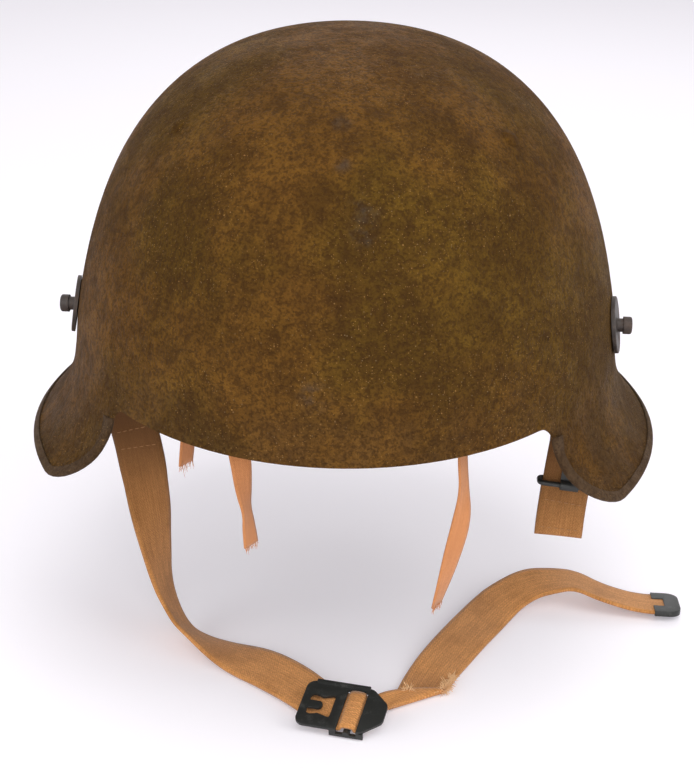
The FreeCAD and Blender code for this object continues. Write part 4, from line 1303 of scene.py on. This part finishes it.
@dataclass
class RimBinding:
    """Steel strip rolled over the edge of the lobes and nape, in millimetres."""

    bowl: Bowl = field(default_factory=Bowl)
    notch: tuple[float, float] = (-71.5, -18.0)
    corner: tuple[float, float] = (-76.0, -56.0)
    nape_rise: float = 3.0 / 261.0
    radius: float = 16.0
    start_height: float = -24.0
    sheet: float = 1.2
    wall: float = 0.9
    lip: float = 3.0
    roll: float = 1.15
    front_steps: int = 6
    corner_steps: int = 10
    nape_steps: int = 60
    roll_steps: int = 8

    def edge(self) -> list[tuple[float, float]]:
        """Distance behind the origin and height of the edge, from one notch to the back.

        Returns:
            Points of the edge, in millimetres.
        """
        front = (Vector(self.notch) - Vector(self.corner)).normalized()
        back = Vector((1.0, self.nape_rise)).normalized()
        half = front.angle(back) / 2
        reach = self.radius / math.tan(half)
        centre = Vector(self.corner) + (front + back).normalized() * self.radius / math.sin(half)
        first, last = Vector(self.corner) + front * reach, Vector(self.corner) + back * reach
        share = (self.start_height - self.corner[1]) / (self.notch[1] - self.corner[1])
        start = Vector(self.corner).lerp(Vector(self.notch), share)
        line = [start.lerp(first, step / self.front_steps) for step in range(self.front_steps)]
        low = math.atan2(first.y - centre.y, first.x - centre.x) % (2 * math.pi)
        high = math.atan2(last.y - centre.y, last.x - centre.x) % (2 * math.pi)
        for step in range(self.corner_steps + 1):
            turn = low + (high - low) * step / self.corner_steps
            line.append(centre + Vector((math.cos(turn), math.sin(turn))) * self.radius)
        return [(spot.x, spot.y) for spot in line]

    def places(self) -> list[tuple[float, float]]:
        """Azimuths and heights of the edge, all the way round.

        Returns:
            Azimuth in degrees and height in millimetres of each place.
        """
        side = [(self.bowl.azimuth(ahead, height), height) for ahead, height in self.edge()]
        start = side[-1][0]
        for step in range(1, self.nape_steps + 1):
            azimuth = start + (180.0 - start) * step / self.nape_steps
            height = side[-1][1]
            for _ in range(2):
                ahead = self.bowl.point(azimuth, height, 0.0).y / MM
                height = self.corner[1] + self.nape_rise * (ahead - self.corner[0])
            side.append((azimuth, height))
        return side + [(-azimuth, height) for azimuth, height in reversed(side[:-1])]

    def section(self, lip: float) -> list[tuple[float, float]]:
        """Closed outline of the strip: up the wall from its edge, and out from the wall.

        Args:
            lip: Height of the strip on the wall.

        Returns:
            Heights up the wall and distances out from it, in millimetres.
        """
        top, low, half = self.wall, -self.sheet - self.wall, self.sheet / 2 + self.wall
        middle = (top + low) / 2
        outline = [(lip, 0.28), (lip, top - 0.12), (lip - 0.35, top + 0.08), (0.6, top)]
        for step in range(1, self.roll_steps):
            turn = math.pi * step / self.roll_steps
            outline.append((-self.roll * math.sin(turn), middle + half * math.cos(turn)))
        outline += [(0.6, low), (lip - 0.4, low), (lip, low + 0.3), (lip, -self.sheet - 0.05),
                    (0.0, -self.sheet - 0.02), (0.0, 0.02)]
        return outline

    def build(self, finishes: Finishes) -> None:
        """Makes the rolled strip.

        Args:
            finishes: All the finishes, by slot.
        """
        places = self.places()
        line = [self.bowl.point(azimuth, height, 0.0) for azimuth, height in places]
        made, rings = bmesh.new(), []
        for number, (azimuth, height) in enumerate(places):
            before, after = line[max(number - 1, 0)], line[min(number + 1, len(line) - 1)]
            along = (after - before).normalized()
            out = self.bowl.outward(azimuth, height)
            upward = out.cross(along).normalized()
            wander = noise.noise(line[number] * 90)
            ends = min(number, len(line) - 1 - number)
            lip = self.lip + 0.35 * wander + (0.9 if ends < 3 else 0.0)
            rings.append([made.verts.new(line[number] + (upward * up + out * rise) * MM)
                          for up, rise in self.section(lip)])
        count = len(rings[0])
        for before, after in zip(rings, rings[1:]):
            for spot in range(count):
                face = made.faces.new((before[spot], before[(spot + 1) % count],
                                       after[(spot + 1) % count], after[spot]))
                face.smooth = True
        made.faces.new(rings[0])
        made.faces.new(list(reversed(rings[-1])))
        mesh = bpy.data.meshes.new("rim_binding_roll")
        made.to_mesh(mesh)
        made.free()
        piece = linked("rim_binding_roll", mesh)
        select_only(piece)
        bpy.ops.object.mode_set(mode="EDIT")
        bpy.ops.mesh.select_all(action="SELECT")
        bpy.ops.mesh.normals_make_consistent(inside=False)
        bpy.ops.object.mode_set(mode="OBJECT")
        smoothed(piece, 50.0)
        dressed(piece, finishes.made["rim_paint"])
        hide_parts("rim_binding")
        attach(piece, Body.HELMET.value)


@dataclass
class Liner:
    """Three stuffed hide pads and the canvas strips that hang them from the rivets."""

    bowl: Bowl = field(default_factory=Bowl)
    strip_top: float = 102.4
    strip_bottom: float = 12.2
    strip_half: float = 12.6
    strip_depth: float = 2.1
    strip_thickness: float = 1.1 * MM
    strip_steps: int = 26
    strip_columns: int = 8
    swell: float = 5.0 * MM
    voxel: float = 4.5 * MM
    draw_in: float = 1.5 * MM
    pressure: float = 4.0
    frames: int = 20
    puckers: int = 26
    rim_wide: float = 48 * MM
    rim_tall: float = 46 * MM
    dent: float = 1.6 * MM
    places: dict[str, tuple[float, float]] = field(default_factory=lambda: {
        "front_left": (50.0, 38.0), "front_right": (-50.0, -38.0), "rear": (180.0, 180.0)})

    def build(self, finishes: Finishes) -> None:
        """Makes every strip and pad.

        Args:
            finishes: All the finishes, by slot.
        """
        for side, (top_azimuth, pad_azimuth) in self.places.items():
            self.strip(side, top_azimuth, pad_azimuth, finishes)
            self.pad(side, finishes)

    def strip(self, side: str, top_azimuth: float, low_azimuth: float, finishes: Finishes) -> None:
        """Makes one canvas strip that follows the wall from its rivet down behind its pad.

        Args:
            side: Which pad it belongs to.
            top_azimuth: Azimuth at the rivet, in degrees.
            low_azimuth: Azimuth at the pad, in degrees.
            finishes: All the finishes, by slot.
        """
        steps, columns = self.strip_steps, self.strip_columns
        made = bmesh.new()
        chart = made.loops.layers.uv.new("cloth")
        grid, spots, gone, before = [], {}, 0.0, None
        for step in range(steps + 1):
            share = step / steps
            height = self.strip_top + (self.strip_bottom - self.strip_top) * share
            azimuth = top_azimuth + (low_azimuth - top_azimuth) * share
            middle = self.bowl.point(azimuth, height, self.strip_depth)
            near = self.bowl.point(azimuth + 1, height, self.strip_depth)
            reach = self.strip_half * MM / (near - middle).length
            if before:
                gone += (middle - before).length
            before, row = middle, []
            for column in range(columns + 1):
                part = column / columns * 2 - 1
                edge = part * reach * (1 + 0.02 * math.sin(step * 1.7 + column))
                vertex = made.verts.new(self.bowl.point(azimuth + edge, height, self.strip_depth))
                spots[vertex] = ((part + 1) * self.strip_half * MM, gone)
                row.append(vertex)
            grid.append(row)
        for upper, lower in zip(grid, grid[1:]):
            for column in range(columns):
                face = made.faces.new((upper[column], upper[column + 1],
                                       lower[column + 1], lower[column]))
                face.smooth = True
                for loop in face.loops:
                    loop[chart].uv = spots[loop.vert]
        mesh = bpy.data.meshes.new(f"pad_hanger_{side}_canvas")
        made.to_mesh(mesh)
        made.free()
        piece = linked(f"pad_hanger_{side}_canvas", mesh)
        apply_modifier(piece, "SOLIDIFY", thickness=self.strip_thickness, offset=0.0)
        dressed(piece, finishes.made["canvas"])
        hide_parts(f"pad_hanger_{side}")
        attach(piece, Body.HELMET.value)

    def pad(self, side: str, finishes: Finishes) -> None:
        """Makes one stuffed pad: remeshed, swollen by a cloth simulation, then seamed.

        Args:
            side: Which pad it belongs to.
            finishes: All the finishes, by slot.
        """
        node = f"liner_pad_{side}"
        piece = copied_node(node, f"{node}_hide")
        apply_modifier(piece, "REMESH", mode="VOXEL", voxel_size=self.voxel, use_smooth_shade=True)
        middle = sum((vertex.co for vertex in piece.data.vertices), Vector()) / len(piece.data.vertices)
        inward = (Vector((0, self.bowl.set_back * MM, middle.z)) - middle).normalized()
        self.flatten_in(piece, inward)
        self.inflate(piece, inward)
        self.crease(piece, middle, inward)
        apply_modifier(piece, "SUBSURF", levels=1, render_levels=1)
        smoothed(piece, 80.0)
        dressed(piece, finishes.made["pad_leather"])
        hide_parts(node)
        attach(piece, Body.HELMET.value)

    def flatten_in(self, piece: bpy.types.Object, inward: Vector) -> None:
        """Draws the open side in a little, so that the swelling fits the pad's place.

        Args:
            piece: The piece to work on.
            inward: Direction towards the head.
        """
        for vertex in piece.data.vertices:
            facing = max(0.0, vertex.normal.dot(inward))
            vertex.co -= inward * facing * self.draw_in

    def inflate(self, piece: bpy.types.Object, inward: Vector) -> None:
        """Swells the pad by cloth pressure and keeps the part of it that faces the head.

        Args:
            piece: The piece to work on.
            inward: Direction towards the head.
        """
        before = [vertex.co.copy() for vertex in piece.data.vertices]
        facing = [max(0.0, min(1.0, vertex.normal.dot(inward) * 1.6)) for vertex in piece.data.vertices]
        select_only(piece)
        cloth = piece.modifiers.new("cloth", "CLOTH")
        cloth.settings.use_pressure = True
        cloth.settings.uniform_pressure_force = self.pressure
        cloth.settings.effector_weights.gravity = 0.0
        cloth.settings.quality = 5
        scene = bpy.context.scene
        for number in range(1, self.frames + 1):
            scene.frame_set(number)
        bpy.ops.object.modifier_apply(modifier=cloth.name)
        scene.frame_set(1)
        for vertex, old, share in zip(piece.data.vertices, before, facing):
            moved = vertex.co - old
            if moved.length > self.swell:
                moved = moved.normalized() * self.swell
            vertex.co = old + moved * share

    def crease(self, piece: bpy.types.Object, middle: Vector, inward: Vector) -> None:
        """Puckers the hide round its rim and dimples it, as sewing and long use leave it.

        Args:
            piece: The piece to work on.
            middle: Middle of the pad.
            inward: Direction towards the head.
        """
        across = Vector((0, 0, 1)).cross(inward).normalized()
        upward = inward.cross(across)
        for vertex in piece.data.vertices:
            away = vertex.co - middle
            turn = math.atan2(away.dot(upward), away.dot(across))
            rim = math.hypot(away.dot(across) / self.rim_wide, away.dot(upward) / self.rim_tall)
            facing = max(0.0, vertex.normal.dot(inward))
            pucker = 0.5 * MM * math.sin(turn * self.puckers) * max(0.0, 1 - abs(rim - 0.9) * 6)
            dent = self.dent * noise.noise(vertex.co * 38) * facing
            vertex.co += inward * (pucker * facing + dent - 0.6 * MM * facing)


@dataclass
class Fittings:
    """Pressed and turned metal pieces on the straps, with softened edges rubbed bright."""

    softened: dict[str, tuple[str, Body, float]] = field(default_factory=lambda: {
        "buckle_plate": ("buckle_plate_pressing", Body.BUCKLE, 0.28 * MM),
        "strap_tip": ("strap_tip_pressing", Body.LONG_STRAP, 0.22 * MM),
        "keeper_hook": ("keeper_hook_pressing", Body.HOOK, 0.16 * MM),
    })

    def build(self, finishes: Finishes) -> dict[str, bpy.types.Object]:
        """Makes the softened pressings and returns them by node.

        Args:
            finishes: All the finishes, by slot.

        Returns:
            The finished pressings, by node.
        """
        made = {}
        for node, (name, body, radius) in self.softened.items():
            piece = copied_node(node, name)
            edge = "black_edge" if node == "buckle_plate" else "black_steel"
            dressed(piece, finishes.made["black_steel"], finishes.made[edge])
            apply_modifier(piece, "BEVEL", width=radius, segments=2, limit_method="ANGLE",
                           angle_limit=math.radians(38), material=1, use_clamp_overlap=True)
            smoothed(piece, 35.0)
            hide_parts(node)
            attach(piece, body.value)
            made[node] = piece
        for node in ("buckle_crossbar", "keeper_loop"):
            finishes.on_node(node, "black_steel")
        return made


@dataclass
class Studio:
    """Plain pale floor, soft lights and the camera at the photograph's angle."""

    target: Vector = field(default_factory=lambda: Vector((0.69, 23.04, -42.88)) * MM)
    yaw: float = math.radians(3.23)
    pitch: float = math.radians(21.93)
    roll: float = math.radians(1.21)
    distance: float = 0.8
    lens: float = 80.1
    sensor: float = 36.0
    floor_height: float = -166.6 * MM
    floor_half: float = 4.0
    floor_colour: Colour = (0.86, 0.84, 0.87)
    floor_glow: Colour = (0.20, 0.19, 0.21)
    far_glow: Colour = (0.42, 0.41, 0.43)
    near_reach: float = 1.5
    far_reach: float = 3.6
    sky: Colour = (0.93, 0.92, 0.94)
    sky_strength: float = 0.55
    lamps: tuple[tuple[str, tuple[float, ...], tuple[float, ...], float, float], ...] = (
        ("lamp_top", (0.25, -0.75, 1.55), (0, 0, 0), 1.3, 12.0),
        ("lamp_left", (-1.3, -0.9, 0.7), (0, 0, 0), 1.0, 5.5),
        ("lamp_right", (1.35, -0.6, 0.75), (0, 0, 0), 1.0, 8.0),
        ("lamp_front", (-0.1, -1.6, 0.55), (0, 0, -0.08), 1.2, 12.6),
        ("lamp_back", (0.1, 1.4, 1.1), (0, 0, 0), 1.2, 6.0))

    def camera(self) -> None:
        """Places the camera."""
        back = Vector((math.sin(self.yaw) * math.cos(self.pitch),
                       -math.cos(self.yaw) * math.cos(self.pitch), math.sin(self.pitch)))
        level = Vector((math.cos(self.yaw), math.sin(self.yaw), 0))
        rise = back.cross(level)
        right = level * math.cos(self.roll) + rise * math.sin(self.roll)
        upward = rise * math.cos(self.roll) - level * math.sin(self.roll)
        lens = bpy.data.cameras.new("camera")
        lens.lens, lens.sensor_width = self.lens, self.sensor
        lens.clip_start, lens.clip_end = 0.05, 40.0
        camera = bpy.data.objects.new("camera", lens)
        place = Matrix((right, upward, back)).transposed().to_4x4()
        place.translation = self.target + back * self.distance
        camera.matrix_world = place
        bpy.context.scene.collection.objects.link(camera)
        bpy.context.scene.camera = camera

    def floor(self) -> None:
        """Lays the floor."""
        select_none()
        bpy.ops.mesh.primitive_plane_add(size=2 * self.floor_half, location=(0, 0, self.floor_height))
        floor = bpy.context.active_object
        floor.name = "floor"
        writer, shader = new_material("floor_paper")
        grain = writer.noise(writer.place(), 3.0, 2.0)
        pale = tuple(part * 0.985 for part in self.floor_colour)
        writer.feed(shader.inputs["Base Color"], writer.mix(grain, pale, self.floor_colour))
        shader.inputs["Roughness"].default_value = 0.9
        shader.inputs["Specular IOR Level"].default_value = 0.1
        away = writer.node("ShaderNodeVectorMath", operation="LENGTH")
        writer.feed(away.inputs[0], writer.place())
        reach = writer.limits(away.outputs["Value"], self.near_reach, self.far_reach)
        writer.feed(shader.inputs["Emission Color"], writer.mix(reach, self.floor_glow, self.far_glow))
        path = writer.node("ShaderNodeLightPath")
        seen = writer.sum("MAXIMUM", path.outputs["Is Camera Ray"], path.outputs["Is Glossy Ray"])
        writer.feed(shader.inputs["Emission Strength"], seen)
        floor.data.materials.append(writer.material)

    def lamp(self, name: str, place: Vector, aim: Vector, size: float, power: float) -> None:
        """Hangs one soft square lamp.

        Args:
            name: Name that it gets.
            place: Place of it.
            aim: Point that it faces.
            size: Side of its square, in metres.
            power: Power in watts.
        """
        light = bpy.data.lights.new(name, "AREA")
        light.shape, light.size, light.energy = "SQUARE", size, power
        lamp = bpy.data.objects.new(name, light)
        lamp.location = place
        lamp.rotation_mode = "QUATERNION"
        lamp.rotation_quaternion = (aim - place).to_track_quat("-Z", "Y")
        bpy.context.scene.collection.objects.link(lamp)

    def lights(self) -> None:
        """Hangs the lamps and sets the sky, which the camera and gloss see as off-white."""
        for name, place, aim, size, power in self.lamps:
            self.lamp(name, Vector(place), Vector(aim), size, power)
        world = bpy.data.worlds.new("studio")
        world.use_nodes = True
        writer = Shader(world.node_tree)
        plain = world.node_tree.nodes["Background"]
        plain.inputs["Color"].default_value = (*self.sky, 1.0)
        path = writer.node("ShaderNodeLightPath")
        seen = writer.sum("MAXIMUM", path.outputs["Is Camera Ray"], path.outputs["Is Glossy Ray"])
        strength = writer.sum("ADD", writer.sum("MULTIPLY", seen, 1.0 - self.sky_strength),
                              self.sky_strength)
        writer.feed(plain.inputs["Strength"], strength)
        bpy.context.scene.world = world

    def build(self) -> None:
        """Sets up the whole studio."""
        self.camera()
        self.floor()
        self.lights()
        bpy.context.scene.view_settings.view_transform = "Standard"


@dataclass
class Steelwork:
    """Shell, studs, brackets, loops and liner rivets, which keep their CAD shapes."""

    finishes: dict[str, str] = field(default_factory=lambda: {
        "shell": "shell_paint", "liner_rivets": "shell_paint",
        "liner_washers": "worn_steel", "visor_stud_left": "dark_steel",
        "visor_stud_right": "dark_steel", "stud_disc_left": "dark_steel",
        "stud_disc_right": "dark_steel", "stud_packing_left": "packing",
        "stud_packing_right": "packing", "strap_bracket_left": "worn_steel",
        "strap_bracket_right": "worn_steel", "strap_loop_left": "worn_steel",
        "strap_loop_right": "worn_steel"})

    def build(self, made: Finishes) -> None:
        """Dresses each node in its list."""
        for node, slot in self.finishes.items():
            made.on_node(node, slot)


def main() -> None:
    """Builds the helmet's finished pieces and the studio."""
    logging.basicConfig(level=logging.INFO, format="%(name)s %(message)s")
    finishes = Finishes().build()
    finishes.made["thread"] = thread_finish().build()
    finishes.made["webbing_thread"] = fray_finish().build()
    finishes.made["tape_thread"] = finishes.made["tape"]
    Studio().build()
    LOG.info("studio ready")
    Steelwork().build(finishes)
    RimBinding().build(finishes)
    LOG.info("steelwork dressed")
    fittings = Fittings().build(finishes)
    LOG.info("fittings: %s", ", ".join(sorted(fittings)))
    ChinStrap().build(finishes, fittings)
    ShortStrap().build(finishes)
    TieTapes().build(finishes)
    Liner().build(finishes)
    LOG.info("liner done")


if __name__ == "__main__":
    main()
